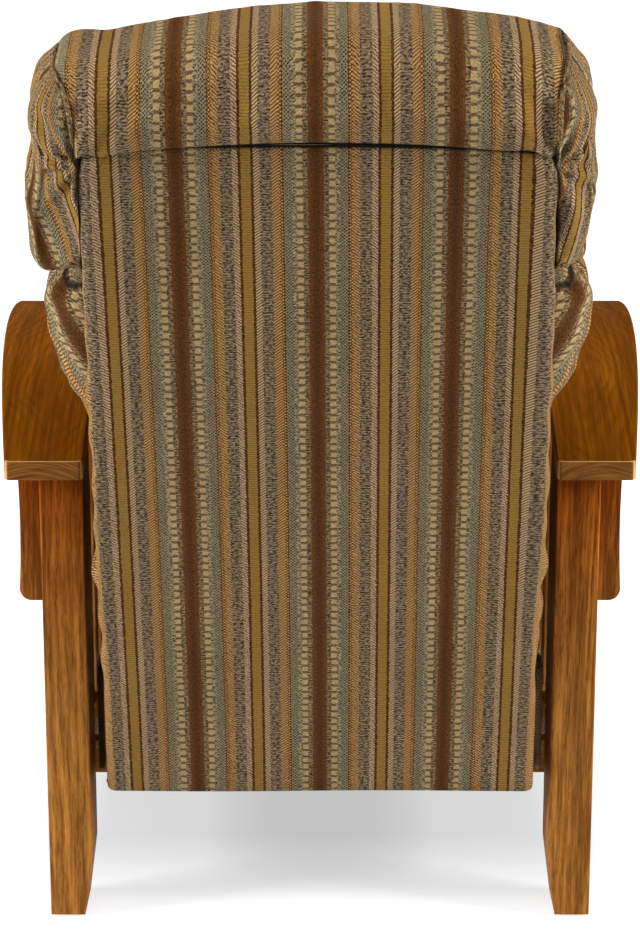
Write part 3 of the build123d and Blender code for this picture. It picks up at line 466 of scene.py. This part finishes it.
def dress_cad_nodes():
    """Gives every CAD node that stays in view its finished material."""
    slot_of = {part["node"]: part["material_slot"] for part in frame["record"]["subparts"]}
    for name, node in frame["nodes"].items():
        material = slot_materials.get(slot_of[name], oak_along["Z"])
        if slot_of[name] == "oak":
            for start, grain in oak_grain_starts:
                if name.startswith(start) and "slats" not in name:
                    material = grain
        for number in range(len(node.data.materials)):
            node.data.materials[number] = material
        if not node.data.materials:
            node.data.materials.append(material)


# Soft pieces: each starts as a closed grid laid over a box, so its seams are the box's edges


def lines(low, high, low_round, high_round, count, round_count):
    """Grid places along one axis, closer together in the rounded ends."""
    angles = np.arange(round_count, 0, -1) * pi / 4 / round_count
    lower = low + low_round * (1 - np.tan(angles))
    upper = high - high_round * (1 - np.tan(angles[::-1]))
    middle = np.linspace(low + low_round, high - high_round, count + 1)
    return np.concatenate([lower, middle, upper])


def box_grid(grids):
    """Vertices of a closed box surface, its quads, and each quad's side: axis and end."""
    numbers = {}
    corners = []

    def number(index):
        if index not in numbers:
            numbers[index] = len(corners)
            corners.append([grids[axis][index[axis]] for axis in range(3)])
        return numbers[index]

    quads = []
    sides = []
    for axis in range(3):
        first, second = (axis + 1) % 3, (axis + 2) % 3
        for end in (0, len(grids[axis]) - 1):
            for i in range(len(grids[first]) - 1):
                for j in range(len(grids[second]) - 1):
                    ring = []
                    for step_i, step_j in ((0, 0), (1, 0), (1, 1), (0, 1)):
                        index = [0, 0, 0]
                        index[axis] = end
                        index[first] = i + step_i
                        index[second] = j + step_j
                        ring.append(number(tuple(index)))
                    quads.append(ring if end else ring[::-1])
                    sides.append((axis, 1 if end else -1))
    return np.array(corners), quads, sides


def round_box(corners, low, high, low_round, high_round):
    """Rounds the edges of a box, with radii given for each axis and end."""
    low, high, low_round, high_round = map(np.array, (low, high, low_round, high_round))
    core = np.clip(corners, low + low_round, high - high_round)
    radii = np.where(corners > core, high_round, low_round)
    offset = (corners - core) / radii
    length = np.linalg.norm(offset, axis=1, keepdims=True)
    return core + radii * offset / np.maximum(length, 1e-9)


def round_grid(low, high, low_round, high_round, counts, round_count):
    """A closed grid over a box: its corners, quads, sides, and the corners' rounded x, y and z."""
    grids = [
        lines(low[axis], high[axis], low_round[axis], high_round[axis], counts[axis], round_count)
        for axis in range(3)
    ]
    corners, quads, sides = box_grid(grids)
    return corners, quads, sides, round_box(corners, low, high, low_round, high_round).T


def at(corners, axis, place):
    """Which corners of a grid lie at a place on an axis."""
    return np.isclose(corners[:, axis], place)


def make_mesh(name, points, quads, maps, seam=None):
    """A striped object from world points and faces, with cloth coordinates for each face corner. Seam
    marks the points that lie on a seam."""
    mesh = bpy.data.meshes.new(name)
    mesh.from_pydata([tuple(point) for point in points], [], [list(quad) for quad in quads])
    points = np.asarray(points)
    distance = np.full(len(points), 1.0)
    if seam is not None:
        for spot in points[seam]:
            distance = np.minimum(distance, np.linalg.norm(points - spot, axis=1))
    corner = np.array([number for quad in quads for number in quad])
    seam_maps = np.stack([distance[corner], np.zeros(len(corner))], axis=-1)
    for layer_name, values in (("cloth", maps), ("seam", seam_maps)):
        layer = mesh.uv_layers.new(name=layer_name)
        layer.data.foreach_set("uv", np.asarray(values, dtype=np.float32).ravel())
    mesh.polygons.foreach_set("use_smooth", [True] * len(mesh.polygons))
    mesh.materials.append(slot_materials["striped_fabric"])
    mesh.update()
    piece = bpy.data.objects.new(name, mesh)
    scene.collection.objects.link(piece)
    return piece


def vertex_values(piece, key):
    """A vector of each vertex: its place, "co", or its "normal"."""
    flat = np.zeros(len(piece.data.vertices) * 3)
    piece.data.vertices.foreach_get(key, flat)
    return flat.reshape(-1, 3)


def bake_modifiers(piece):
    """Applies what the piece's modifiers show."""
    graph = bpy.context.evaluated_depsgraph_get()
    shown = piece.evaluated_get(graph)
    mesh = bpy.data.meshes.new_from_object(shown, preserve_all_data_layers=True, depsgraph=graph)
    piece.modifiers.clear()
    piece.data = mesh


cloth_settings = dict(
    quality=6,
    mass=0.25,
    tension_stiffness=12,
    compression_stiffness=8,
    shear_stiffness=4,
    bending_stiffness=0.6,
    air_damping=3,
    use_pressure=True,
    vertex_group_mass="held",
)
swell_frames = 18


def swell(piece, held, pressure, slack, cap):
    """Blows the piece up as cloth, by no more than the cap. Held is a weight for each vertex, 1 where it
    stays still, and slack is how much the cloth may grow."""
    start = vertex_values(piece, "co")
    group = piece.vertex_groups.new(name="held")
    for number, weight in enumerate(held):
        if weight > 0:
            group.add([number], float(min(weight, 1.0)), "REPLACE")
    cloth = piece.modifiers.new("swell", "CLOTH")
    for key, value in cloth_settings.items():
        setattr(cloth.settings, key, value)
    cloth.settings.uniform_pressure_force = pressure
    cloth.settings.shrink_min = -slack
    cloth.settings.effector_weights.gravity = 0
    cloth.collision_settings.use_collision = False
    cloth.point_cache.frame_start = 1
    cloth.point_cache.frame_end = swell_frames
    for number in range(1, swell_frames + 1):
        scene.frame_set(number)
    bake_modifiers(piece)
    scene.frame_set(1)
    move = vertex_values(piece, "co") - start
    length = np.linalg.norm(move, axis=1, keepdims=True)
    move *= cap * np.tanh(length / cap) / np.maximum(length, 1e-9)
    piece.data.vertices.foreach_set("co", (start + move).ravel())
    piece.data.update()


def refine(piece):
    """One smooth subdivision, applied."""
    smooth = piece.modifiers.new("smooth", "SUBSURF")
    smooth.levels = smooth.render_levels = 1
    bake_modifiers(piece)
    piece.data.polygons.foreach_set("use_smooth", [True] * len(piece.data.polygons))


def finish_piece(piece, body, *nodes):
    """Hangs the cloth piece on the body that carries it, and hides the CAD nodes that it stands for."""
    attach(piece, body)
    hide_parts(*nodes)


def corner_maps(quads, sides, chart):
    """Cloth coordinates of each face corner from a chart for each side."""
    maps = []
    for quad, side in zip(quads, sides):
        maps.extend(chart[side][number] for number in quad)
    return maps


def paired_chart(*pairs):
    """The same cloth coordinates for both sides of each axis."""
    return {(axis, end): np.stack(pair, axis=-1) for axis, pair in enumerate(pairs) for end in (-1, 1)}


def with_wings(corners, quads, sides, shared, limit):
    """Each quad's side, where those of the shared sides that lie past the limit across go to the wings."""
    dressed = []
    for quad, side in zip(quads, sides):
        middle = corners[quad, 0].mean()
        if side in shared and abs(middle) > limit:
            side = (0, 1 if middle > 0 else -1)
        dressed.append(side)
    return dressed


def seam_curve(x):
    """Height along the back of the seam under the head section."""
    return seam_v - seam_fall * (np.abs(x) / 0.24) ** 2


def outer_half_width(v):
    """Half the width of the outer back."""
    return panel_half_width - 0.012 * np.clip(v / seam_v, 0, 1)


def rolled_edge(v, side):
    """How far the rolled edge of the outer back stands out past it beside the padded sections."""
    more = 0.0 if side > 0 else 0.0040
    return (0.0035 * ease(v, 0.10, 0.40) + more * ease(v, 0.24, 0.42)) * (1 - ease(v, 0.79, 0.82))


def settled(x, v):
    """The back leans a few millimetres to the sitter's left towards its top."""
    return x + 0.0045 * np.clip(v / seam_v, 0, 1.1) ** 1.5


# Outer back: one cloth skin over the rear panel and both padded sides


def outer_back():
    edge_round = 0.011
    side_depth = pocket_t - 0.002
    fold_v = 0.33  # where the sides are loosest
    low_rows, high_rows = [-0.5, 0.0, 0.35, 1.0], [99.3, 99.6, 99.8, 100.0]
    rows = np.concatenate([low_rows, np.linspace(2.0, 99.0, 96), high_rows]) / 100
    along_rear = np.linspace(-1, 1, 121)
    turns = np.linspace(0, pi / 2, 7)[1:]
    down_side = np.linspace(0, 1, 8)[1:]
    points = []
    maps = []
    for row in rows:
        v = max(row, 0) * (seam_v + 0.0005)
        half = outer_half_width(v)
        inset = 0.005 * (1 - min(max(row, 0) / 0.01, 1)) ** 2 + 0.005 * ease(v, seam_v - 0.007, seam_v)
        x = list(along_rear * (half - edge_round))
        t = [0.0] * len(x)
        across = list(x)
        for angle in turns:
            x.append(half - edge_round + edge_round * sin(angle))
            t.append(edge_round * (1 - cos(angle)))
            across.append(half - edge_round + edge_round * angle)
        for share in down_side:
            x.append(half)
            t.append(edge_round + share * (side_depth - edge_round))
            across.append(half - edge_round + edge_round * pi / 2 + share * (side_depth - edge_round))
        tail = len(turns) + len(down_side)
        x = [-value for value in x[-1 : -tail - 1 : -1]] + x
        t = t[-1 : -tail - 1 : -1] + t
        across = [-value for value in across[-1 : -tail - 1 : -1]] + across
        x, t, across = map(np.array, (x, t, across))
        top = np.minimum(v, seam_curve(x)) if row > 0.9 else v
        t = t + (inset if row >= 0 else 0.008)
        edge = ease(np.abs(x), half - 0.05, half - 0.004)
        loose = hump(v, fold_v, 0.12) * edge * (t < 0.03)
        place = np.stack([x * 0.6, t, np.full_like(x, v)], axis=-1)
        t = t - 0.0016 * ripple(place, 0.16, 3) - loose * (0.002 + 0.002 * ripple(place, 0.05, 5))
        waviness = 0.4 * ease(v, 0.06, 0.22) + hump(v, fold_v, 0.15)
        x = x + np.sign(x) * (t > 0.004) * (0.0012 + 0.0022 * ripple(place, 0.045, 7) * waviness)
        rolled = np.where(x > 0, rolled_edge(v, 1), rolled_edge(v, -1))
        rolled = rolled * ease(np.abs(x), half - 0.022, half - 0.004)
        x = x + np.sign(x) * rolled
        t = t - 0.35 * rolled * (t < 0.03)
        points.append(back_points(settled(x, v), t, top - hem_sag * (1 - ease(v, 0.0, 0.12))))
        maps.append(np.stack([across, np.broadcast_to(top, across.shape)], axis=-1))
    points = np.array(points)
    maps = np.array(maps)
    columns = points.shape[1]
    quads = []
    corner = []
    for i in range(len(rows) - 1):
        for j in range(columns - 1):
            spots = ((i, j), (i, j + 1), (i + 1, j + 1), (i + 1, j))
            quads.append([row * columns + column for row, column in spots])
            corner.extend(maps[spot] for spot in spots)
    on_seam = np.zeros(points.shape[:2], dtype=bool)
    on_seam[-3:] = True
    skin = make_mesh("outer_back_cover", points.reshape(-1, 3), quads, corner, on_seam.ravel())
    thick = skin.modifiers.new("thick", "SOLIDIFY")
    thick.thickness = 0.0035
    thick.offset = 1.0
    bake_modifiers(skin)
    middle = len(rows) // 2 * columns + columns // 2
    inside_out = np.dot(vertex_values(skin, "normal")[middle], (0, lean_cos, -lean_sin)) < 0
    if inside_out:
        skin.data.flip_normals()
    finish_piece(skin, "back", "outer_back_panel", "back_side_cover_left", "back_side_cover_right")


# Head section


def head_drop(x):
    """How far the crest lies below its middle, lower towards the sitter's left."""
    right = np.interp(
        -x,
        [0, 0.06, 0.10, 0.135, 0.16, 0.187, 0.21, 0.23, 0.25, 0.27, 0.31],
        [-0.001, 0, 0.001, 0.005, 0.0095, 0.0125, 0.0165, 0.0245, 0.0335, 0.024, 0.018],
    )
    left = np.interp(
        x,
        [0, 0.06, 0.10, 0.16, 0.21, 0.25, 0.27, 0.285, 0.31],
        [-0.001, 0.004, 0.009, 0.020, 0.031, 0.033, 0.0335, 0.0265, 0.020],
    )
    return np.where(x > 0, left, right)


def wing_seam(v, side):
    """How far out the seam between the head section's back and its side runs. Over the top, v goes on
    as the depth past the rear edge."""
    places = [0.0, 0.8175, 0.852, 0.875, 0.90, 0.932, 0.950, 0.967, 0.985, 1.002]
    if side > 0:
        upper = [0.2435, 0.2450, 0.2471, 0.2518, 0.2586, 0.2639, 0.2696, 0.2770, 0.2843]
    else:
        upper = [0.2434, 0.2455, 0.2476, 0.2492, 0.2513, 0.2539, 0.2581, 0.2623, 0.2675]
    edge = np.interp(v, places, [0, *upper])
    panel_edge = outer_half_width(v) + rolled_edge(v, side) + 0.0015
    return np.where(v < 0.775, panel_edge, np.maximum(edge, panel_edge))


def gather_folds(x, v, climb, side):
    """Folds that fan out from the corner where the seam meets the side, and puckers along the seam."""
    here = np.sign(x) == side
    from_corner_x, from_corner_v = np.abs(x) - 0.247, v - 0.802
    reach = np.hypot(from_corner_x, from_corner_v)
    angle = np.arctan2(from_corner_v, from_corner_x)
    fan = here * np.exp(-((reach / 0.060) ** 2)) * ease(reach, 0.0, 0.012)
    from_seam = np.abs(np.abs(x) - wing_seam(climb, side))
    puckers = here * np.exp(-from_seam / 0.022) * ease(climb, 0.83, 0.86)
    folds = 0.006 * fan * np.cos(9 * angle + 1.3 * side)
    return folds + 0.0030 * puckers * np.cos(2 * pi * climb / 0.021 + 14 * x)


def add_welt(piece, path, radius, out):
    """Sews a corded seam onto a finished piece. The path runs over its points, and out is the way the
    cord stands off it."""
    path = np.asarray(path)
    for _ in range(2):
        path[1:-1] = (path[:-2] + 2 * path[1:-1] + path[2:]) / 4
    steps = np.linalg.norm(np.diff(path, axis=0), axis=1)
    run = np.concatenate([[0], np.cumsum(steps)])
    places = np.linspace(0, run[-1], max(int(run[-1] / 0.0025), 8))
    path = np.stack([np.interp(places, run, path[:, axis]) for axis in range(3)], axis=-1)
    along = np.gradient(path, axis=0)
    along /= np.linalg.norm(along, axis=1, keepdims=True)
    first = np.asarray(out) - along * (along @ np.asarray(out))[:, None]
    first /= np.linalg.norm(first, axis=1, keepdims=True)
    second = np.cross(along, first)
    taper = np.sqrt(np.clip(np.minimum(np.arange(len(path)), np.arange(len(path))[::-1]) / 3, 0.05, 1))
    round_count = 10
    turns = np.arange(round_count) * 2 * pi / round_count
    rings = path[:, None] + radius * taper[:, None, None] * (
        first[:, None] * np.cos(turns)[None, :, None] + second[:, None] * np.sin(turns)[None, :, None]
    )
    quads = []
    maps = []
    for i in range(len(path) - 1):
        for j in range(round_count):
            for row, turn in ((i, j), (i, j + 1), (i + 1, j + 1), (i + 1, j)):
                wrap = radius * turn * 2 * pi / round_count
                maps.append((1.9 * places[row] + wrap, places[row] - wrap))
            after = (j + 1) % round_count
            quads.append([i * round_count + j, i * round_count + after])
            quads[-1] += [(i + 1) * round_count + after, (i + 1) * round_count + j]
    last = (len(path) - 1) * round_count
    for ring in (list(range(round_count))[::-1], [last + j for j in range(round_count)]):
        quads.append(ring)
        maps.extend([(0.0, 0.0)] * len(ring))
    cord = make_mesh(piece.name + "_welt", rings.reshape(-1, 3), quads, maps)
    both = [piece, cord]
    with bpy.context.temp_override(
        active_object=piece, object=piece, selected_editable_objects=both, selected_objects=both
    ):
        bpy.ops.object.join()


def head_section():
    low = (-head_half_width, 0.0, head_low_v + 0.004)
    high = (head_half_width, head_depth, head_top_v)
    low_round = (0.062, 0.070, 0.034)
    high_round = (0.062, 0.085, 0.090)
    # Extra grid lines keep the seams sharp
    inner_x, outer_x = 0.2425, 0.2445
    x_lines = lines(low[0], high[0], low_round[0], high_round[0], 56, 7)
    extra = [inner_x, outer_x, 0.250, 0.256, 0.236]
    x_lines = np.sort(np.concatenate([x_lines, extra, [-place for place in extra]]))
    t_lines = lines(low[1], high[1], low_round[1], high_round[1], 9, 7)
    v_lines = lines(low[2], high[2], low_round[2], high_round[2], 26, 7)
    v_lines = np.sort(np.concatenate([v_lines, seam_v + np.array([-0.0012, 0, 0.0015, 0.004])]))
    corners, quads, sides = box_grid((x_lines, t_lines, v_lines))
    base_x, base_t, base_v = np.abs(corners[:, 0]), corners[:, 1], corners[:, 2]
    rear = base_t <= t_lines[0] + 1e-9
    at_front = at(corners, 1, high[1])
    at_top = at(corners, 2, high[2])
    at_bottom = at(corners, 2, low[2])
    on_side = np.isclose(base_x, head_half_width)

    # Outline
    moved = corners.copy()
    climb = base_v + np.where(at_top, base_t, 0.0)
    climb = np.where(at_front, high[2] + high[1], climb)
    for side in (-1, 1):
        beyond = (head_half_width - base_x) / (head_half_width - outer_x)
        share = np.where(base_x <= outer_x, ease(base_x, 0.19, inner_x), beyond)
        step = side * (wing_seam(climb, side) - outer_x) * share
        moved[:, 0] += np.where(np.sign(corners[:, 0]) == side, step, 0.0)
    x, t, v = round_box(moved, low, high, low_round, high_round).T
    wide_v = [0.642, 0.655, 0.68, 0.70, 0.745, 0.79, 0.83, 0.87, 0.932]
    wide_left = [0.975, 0.995, 1.012, 1.020, 1.034, 1.000, 0.998, 0.980, 0.955]
    wide_right = [0.925, 0.940, 0.955, 0.960, 0.987, 0.980, 0.970, 0.955, 0.930]
    wide = np.where(x > 0, np.interp(v, wide_v, wide_left), np.interp(v, wide_v, wide_right))
    x = x * (1 + (wide - 1) * ease(np.abs(x), 0.246, 0.295))
    crown = np.cos(x / 0.34 * pi / 2) * np.sin(np.clip((v - 0.62) / 0.31, 0, 1) * pi)
    t = t + 0.010 * ease(t, 0.09, 0.2) * crown
    v = v - head_drop(x) * ease(v, 0.80, 0.92)
    raised = 0.009 + 0.016 * (1 - ease(np.abs(x), 0.255, 0.29))
    v = v + raised * (1 - ease(v, head_low_v, head_low_v + 0.11)) * (1 - ease(t, 0.09, 0.17))

    # The part below the seam lies in the pocket of the outer back, and the rest swells out over it
    in_pocket = rear & (base_x <= inner_x + 1e-6) & (base_v <= seam_v - 0.001)
    lift = rear & (base_x <= outer_x + 1e-6) & (base_v > seam_v - 0.001)
    above = np.maximum(base_v - seam_v, 0)
    v = v - np.where(rear, (seam_v - seam_curve(x)) * hump(base_v, seam_v, 0.03), 0.0)
    puffed = 0.004 - 0.011 * (1 - np.exp(-above / 0.006)) * (1 - ease(above, 0.02, 0.09))
    t = np.where(lift, np.minimum(t, 0.07) + puffed * (1 - ease(above, 0.03, 0.09)), t)
    t = np.where(in_pocket, pocket_t, t)
    wing = (base_x > outer_x - 1e-6) & rear & (base_v < seam_v + 0.03)
    t = t + np.where(wing, 0.006 * ease(seam_v + 0.03 - v, 0.0, 0.06), 0.0)
    for side in (-1, 1):
        t = t - gather_folds(x, v, climb, side) * (base_t < 0.12)
    points = back_points(settled(x, v), t, v)

    # Cloth: the boxing is how far round the side a point of the wings lies
    turn_t = 0.07
    turn_radius = 0.082
    turn = np.arctan2(np.abs(x) - 0.235, np.maximum(turn_t - t, 1e-4) * (t < turn_t) + 1e-6)
    boxing = np.where(
        t < turn_t, turn_radius * np.clip(turn, -0.5, pi / 2), turn_radius * pi / 2 + (t - turn_t)
    )
    gathered = ease(v, 0.79, 0.86)
    left_across = 0.177 + boxing * (1 + 0.25 * gathered) - 0.018 * gathered - 0.47 * (v - 0.779)
    right_across = -(0.162 + boxing * (1 + 0.3 * gathered) - 0.022 * gathered - 0.30 * (v - 0.779))
    chart = {
        (1, -1): np.stack([x, v], axis=-1),
        (1, 1): np.stack([x, 0.93 + 0.205 + (0.93 - v)], axis=-1),
        (2, 1): np.stack([x, 0.93 + t], axis=-1),
        (2, -1): np.stack([x, 1.5 + t], axis=-1),
        (0, 1): np.stack([left_across, v], axis=-1),
        (0, -1): np.stack([right_across, v], axis=-1),
    }
    dressed = with_wings(corners, quads, sides, ((1, -1), (2, 1)), outer_x)

    # Seams and low welts
    on_wing_seam = np.isclose(base_x, outer_x)
    seam = on_wing_seam & ((rear & (base_v > 0.76)) | at_top)
    seam |= rear & (base_x <= outer_x + 1e-6) & at(corners, 2, seam_v)
    seam |= on_side & at_front
    seam |= (base_x > 0.2) & at_bottom & (at(corners, 1, low[1]) | at_front | on_side)
    low_line = np.zeros(len(corners), dtype=bool)
    for place in x_lines[np.abs(x_lines) > 0.25]:
        column = np.flatnonzero(rear & at(corners, 0, place))
        target = low[2] + 0.027 * (1 - ease(abs(place), 0.25, 0.30))
        low_line[column[np.argmin(np.abs(base_v[column] - target))]] = True
    seam |= low_line
    piece = make_mesh("head_section", points, quads, corner_maps(quads, dressed, chart), seam)

    crest = (base_v > 0.90) & (base_t < 0.13)
    edge = lift * hump(base_v, seam_v, 0.012)
    held = np.maximum.reduce([in_pocket * 1.0, edge, seam * 0.95, at_bottom * 1.0, crest * 0.85])
    swell(piece, held, 3.0, 0.035, 0.010)
    refine(piece)
    shown = vertex_values(piece, "co")[: len(corners)]
    seam_line = on_wing_seam & ((rear & (base_v > 0.838)) | at_top) & (base_t < 0.13)
    for side in (-1, 1):
        for line, order, off, radius, out in (
            (seam_line, climb, (0, 0.0012, 0.0005), 0.0027, (0.0, 1.0, 0.4)),
            (low_line, base_x, (0, 0.0014, 0.0002), 0.0026, (0.0, 1.0, -0.2)),
        ):
            here = np.flatnonzero(line & (np.sign(corners[:, 0]) == side))
            here = here[np.argsort(order[here])]
            add_welt(piece, shown[here] + off, radius, out)
    finish_piece(piece, "back", "head_pillow")


# Lumbar section


def lumbar_section():
    low = (-head_half_width, pocket_t, lumbar_low_v)
    high = (head_half_width, lumbar_front_t, head_low_v - 0.001)
    low_round = (0.055, 0.055, 0.06)
    high_round = (0.055, 0.080, 0.030)
    corners, quads, sides, (x, t, v) = round_grid(low, high, low_round, high_round, (50, 7, 38), 6)
    at_rear = at(corners, 1, low[1])
    at_front = at(corners, 1, high[1])
    at_top = at(corners, 2, high[2])
    on_side = np.isclose(np.abs(corners[:, 0]), head_half_width)
    wide_v = [0.245, 0.268, 0.35, 0.42, 0.47, 0.512, 0.561, 0.604, 0.62]
    wide = np.interp(v, wide_v, [0.76, 0.80, 0.826, 0.83, 0.868, 0.945, 0.99, 0.985, 0.97])
    x = x * (wide * np.where(v > 0.5, np.where(x < 0, 0.998, 0.99), 1.0))
    lean_in = np.interp(v, wide_v, [0.075, 0.05, 0.02, 0.008, 0.004, 0, 0, 0.004, 0.01])
    t = t - lean_in * ease(t, 0.12, 0.24)
    t = t + 0.012 * ease(t, 0.12, 0.24) * np.cos(x / 0.34 * pi / 2) * hump(v, 0.42, 0.14)
    points = back_points(settled(x, v), t, v)

    turn_t = 0.115
    turn_radius = 0.06
    turn = np.arctan2(np.abs(x) - 0.20, np.maximum(turn_t - t, 1e-4))
    boxing = np.where(
        t < turn_t, turn_radius * np.clip(turn, -0.5, pi / 2), turn_radius * pi / 2 + (t - turn_t)
    )
    over = np.stack([x, 0.62 + t], axis=-1)
    chart = {
        (1, -1): np.stack([x, v], axis=-1),
        (1, 1): np.stack([x, 1.2 - v], axis=-1),
        (2, 1): over,
        (2, -1): over,
    }
    for end in (-1, 1):
        chart[(0, end)] = np.stack([end * (0.20 + boxing - 0.45 * (v - 0.645)), v], axis=-1)
    dressed = with_wings(corners, quads, sides, ((1, -1),), 0.235)
    seam = on_side & at_front
    seam |= at_top & (at_rear | at_front | on_side)
    piece = make_mesh("lumbar_section", points, quads, corner_maps(quads, dressed, chart), seam)
    tucked = (v < 0.44) & (np.abs(x) > 0.2)  # between the arms
    held = np.maximum.reduce([at_rear * 1.0, tucked * 1.0, seam * 0.9, at_top * 0.8])
    swell(piece, held, 3.0, 0.035, 0.012)
    refine(piece)
    finish_piece(piece, "back", "lumbar_pillow")


# Seat cushion, footrest pad and seat side panels


def seat_cushion():
    low, high = map(np.array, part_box("seat_cushion"))
    low_round = np.array([0.035, 0.045, 0.030])
    high_round = np.array([0.035, 0.040, 0.045])
    corners, quads, sides, (x, y, z) = round_grid(low, high, low_round, high_round, (44, 46, 8), 6)
    # The nose hangs down in front of the front rail
    nose_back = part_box("seat_front_rail")[0].y - 0.004
    nose_low = 0.434
    share = ease(y, nose_back + 0.002, nose_back - 0.012)
    z = np.where(z < nose_low, z + (nose_low - z) * share, z)
    length_share = (y - low[1]) / (high[1] - low[1])
    z = z - 0.026 * length_share * ease(z, low[2] + 0.03, high[2])
    crown = np.cos(np.clip(x / 0.30, -1, 1) * pi / 2) * np.sin(np.clip(length_share, 0, 1) * pi) ** 0.6
    z = z + 0.006 * crown * ease(z, 0.44, 0.50)
    points = np.stack([x, y, z], axis=-1)
    chart = paired_chart((y, z), (x, low[1] - (high[2] - z)), (x, y))
    seam = np.zeros(len(points), dtype=bool)
    for first, second in ((0, 2), (1, 2), (0, 1)):
        for first_end in (low[first], high[first]):
            for second_end in (low[second], high[second]):
                seam |= at(corners, first, first_end) & at(corners, second, second_end)
    piece = make_mesh("seat_cushion_cover", points, quads, corner_maps(quads, sides, chart), seam)
    on_deck = at(corners, 2, low[2]) | (z < nose_low + 0.01)
    held = np.maximum(on_deck * 1.0, seam * 0.9)
    swell(piece, held, 3.5, 0.02, 0.012)
    refine(piece)
    finish_piece(piece, "seat", "seat_cushion")


def footrest_pad():
    low, high = map(np.array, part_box("footrest_pad"))
    low_round = np.array([0.022, 0.034, 0.022])
    high_round = np.array([0.022, 0.010, 0.022])
    corners, quads, sides, (x, y, z) = round_grid(low, high, low_round, high_round, (46, 2, 24), 5)
    points = np.stack([x, y, z], axis=-1)
    chart = paired_chart((y, z), (x, -0.445 - (0.52 - z)), (x, y))
    piece = make_mesh("footrest_pad_cover", points, quads, corner_maps(quads, sides, chart))
    held = np.where(corners[:, 1] >= high[1] - 0.012, 1.0, 0.0)
    swell(piece, held, 3.0, 0.02, 0.004)
    refine(piece)
    finish_piece(piece, "footrest", "footrest_pad")


def seat_side_panels():
    for name, sign in (("left", 1), ("right", -1)):
        node = "seat_side_panel_" + name
        low, high = map(np.array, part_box(node))
        edge_round = np.array([0.0035, 0.012, 0.010])
        corners, quads, sides, (x, y, z) = round_grid(low, high, edge_round, edge_round, (1, 60, 16), 4)
        points = np.stack([x, y, z], axis=-1)
        outer = at(corners, 0, high[0] if sign > 0 else low[0])
        points[:, 0] += sign * outer * (0.0012 * ripple(points, 0.07, 11) - 0.0008)
        # The rear end is thinner on the inside, to clear the back's cover when it reclines
        points[:, 0] += sign * (1 - outer) * 0.0038 * ease(y, high[1] - 0.17, high[1] - 0.09)
        chart = paired_chart((y, z), (x + y, z), (y, z + x))
        piece = make_mesh("seat_side_cover_" + name, points, quads, corner_maps(quads, sides, chart))
        refine(piece)
        finish_piece(piece, "seat", node)


# Camera, light and floor


def add_camera():
    """Behind the chair, a little above its top, looking down at it."""
    focal_pixels = 2600.0
    image_height = 944
    sensor = 36.0
    lens = bpy.data.cameras.new("camera")
    lens.sensor_fit = "VERTICAL"
    lens.sensor_height = sensor
    lens.lens = focal_pixels * sensor / image_height
    camera = bpy.data.objects.new("camera", lens)
    camera.location = (0.0, 3.085, 1.316)
    camera.rotation_euler = (radians(75.0), 0.0, pi)
    scene.collection.objects.link(camera)
    scene.camera = camera


# Each lamp's name, place, what it points at, width and power
lamps = (
    ("left", (3.4, 1.0, 1.7), (0.0, 0.3, 0.8), 1.2, 225.0),
    ("right", (-3.4, 1.0, 1.7), (0.0, 0.3, 0.8), 1.2, 215.0),
    ("top", (0.0, 0.6, 3.6), (0.0, 0.2, 0.0), 2.0, 54.0),
)
surround_light = 0.22  # of the white backdrop, for all but the camera


def add_studio():
    """A pale floor that fades into white, soft lamps and an even surround."""
    for name, place, aim, width, power in lamps:
        lamp = bpy.data.lights.new(name, "AREA")
        lamp.shape = "RECTANGLE"
        lamp.size = lamp.size_y = width
        lamp.energy = power
        light = bpy.data.objects.new(name, lamp)
        light.location = place
        light.rotation_euler = (Vector(aim) - Vector(place)).to_track_quat("-Z", "Y").to_euler()
        scene.collection.objects.link(light)
    world = bpy.data.worlds.new("studio")
    scene.world = world
    world.use_nodes = True
    tree = world.node_tree
    tree.nodes.clear()
    path = tree.nodes.new("ShaderNodeLightPath")
    level = tree.nodes.new("ShaderNodeMapRange")
    level.inputs["To Min"].default_value = surround_light
    level.inputs["To Max"].default_value = 1.0
    tree.links.new(path.outputs["Is Camera Ray"], level.inputs["Value"])
    background = tree.nodes.new("ShaderNodeBackground")
    background.inputs["Color"].default_value = (1.0, 1.0, 1.0, 1.0)
    tree.links.new(level.outputs[0], background.inputs["Strength"])
    output = tree.nodes.new("ShaderNodeOutputWorld")
    tree.links.new(background.outputs[0], output.inputs[0])

    reach = 20.0
    ring = [(-reach, -reach, 0), (reach, -reach, 0), (reach, reach, 0), (-reach, reach, 0)]
    mesh = bpy.data.meshes.new("floor")
    mesh.from_pydata(ring, [], [(0, 1, 2, 3)])
    floor = bpy.data.objects.new("floor", mesh)
    scene.collection.objects.link(floor)
    shading = Shading("floor")
    place = shading.object_place()
    tint = shading.noise(place, 3.0, 2.0)
    shade = shading.mix(shading.spread(tint, 0.3, 0.7), colour(240, 243, 249), colour(237, 240, 247))
    # Painted shadow: the camera sees a darker floor that glows up to white with the distance from the chair's
    # shadow;
    # the weaker glow in a patch under and beside the chair stands in for that shadow
    seen = shading.node("LightPath")
    shade = shading.mix(seen, shade, colour(151, 153, 157))
    split = shading.axes(place)
    beside = shading.math("MAXIMUM", shading.minus(shading.math("ABSOLUTE", split[0]), 0.28), 0.0)
    behind = shading.minus(shading.math("ABSOLUTE", shading.plus(split[1], 0.17)), 0.15)
    behind = shading.math("MAXIMUM", behind, 0.0)
    away = shading.measure("LENGTH", shading.vector(shading.times(beside, 2.5), behind))
    glow = shading.times(seen, shading.spread(away, 0.0, 0.45, 0.46, 1.0))
    white = (1.0, 1.0, 1.0, 1.0)
    mesh.materials.append(
        shading.surface(shade, 0.85, Specular_IOR_Level=0.0, Emission_Strength=glow, Emission_Color=white)
    )


add_camera()
add_studio()
dress_cad_nodes()
outer_back()
head_section()
lumbar_section()
seat_cushion()
footrest_pad()
seat_side_panels()
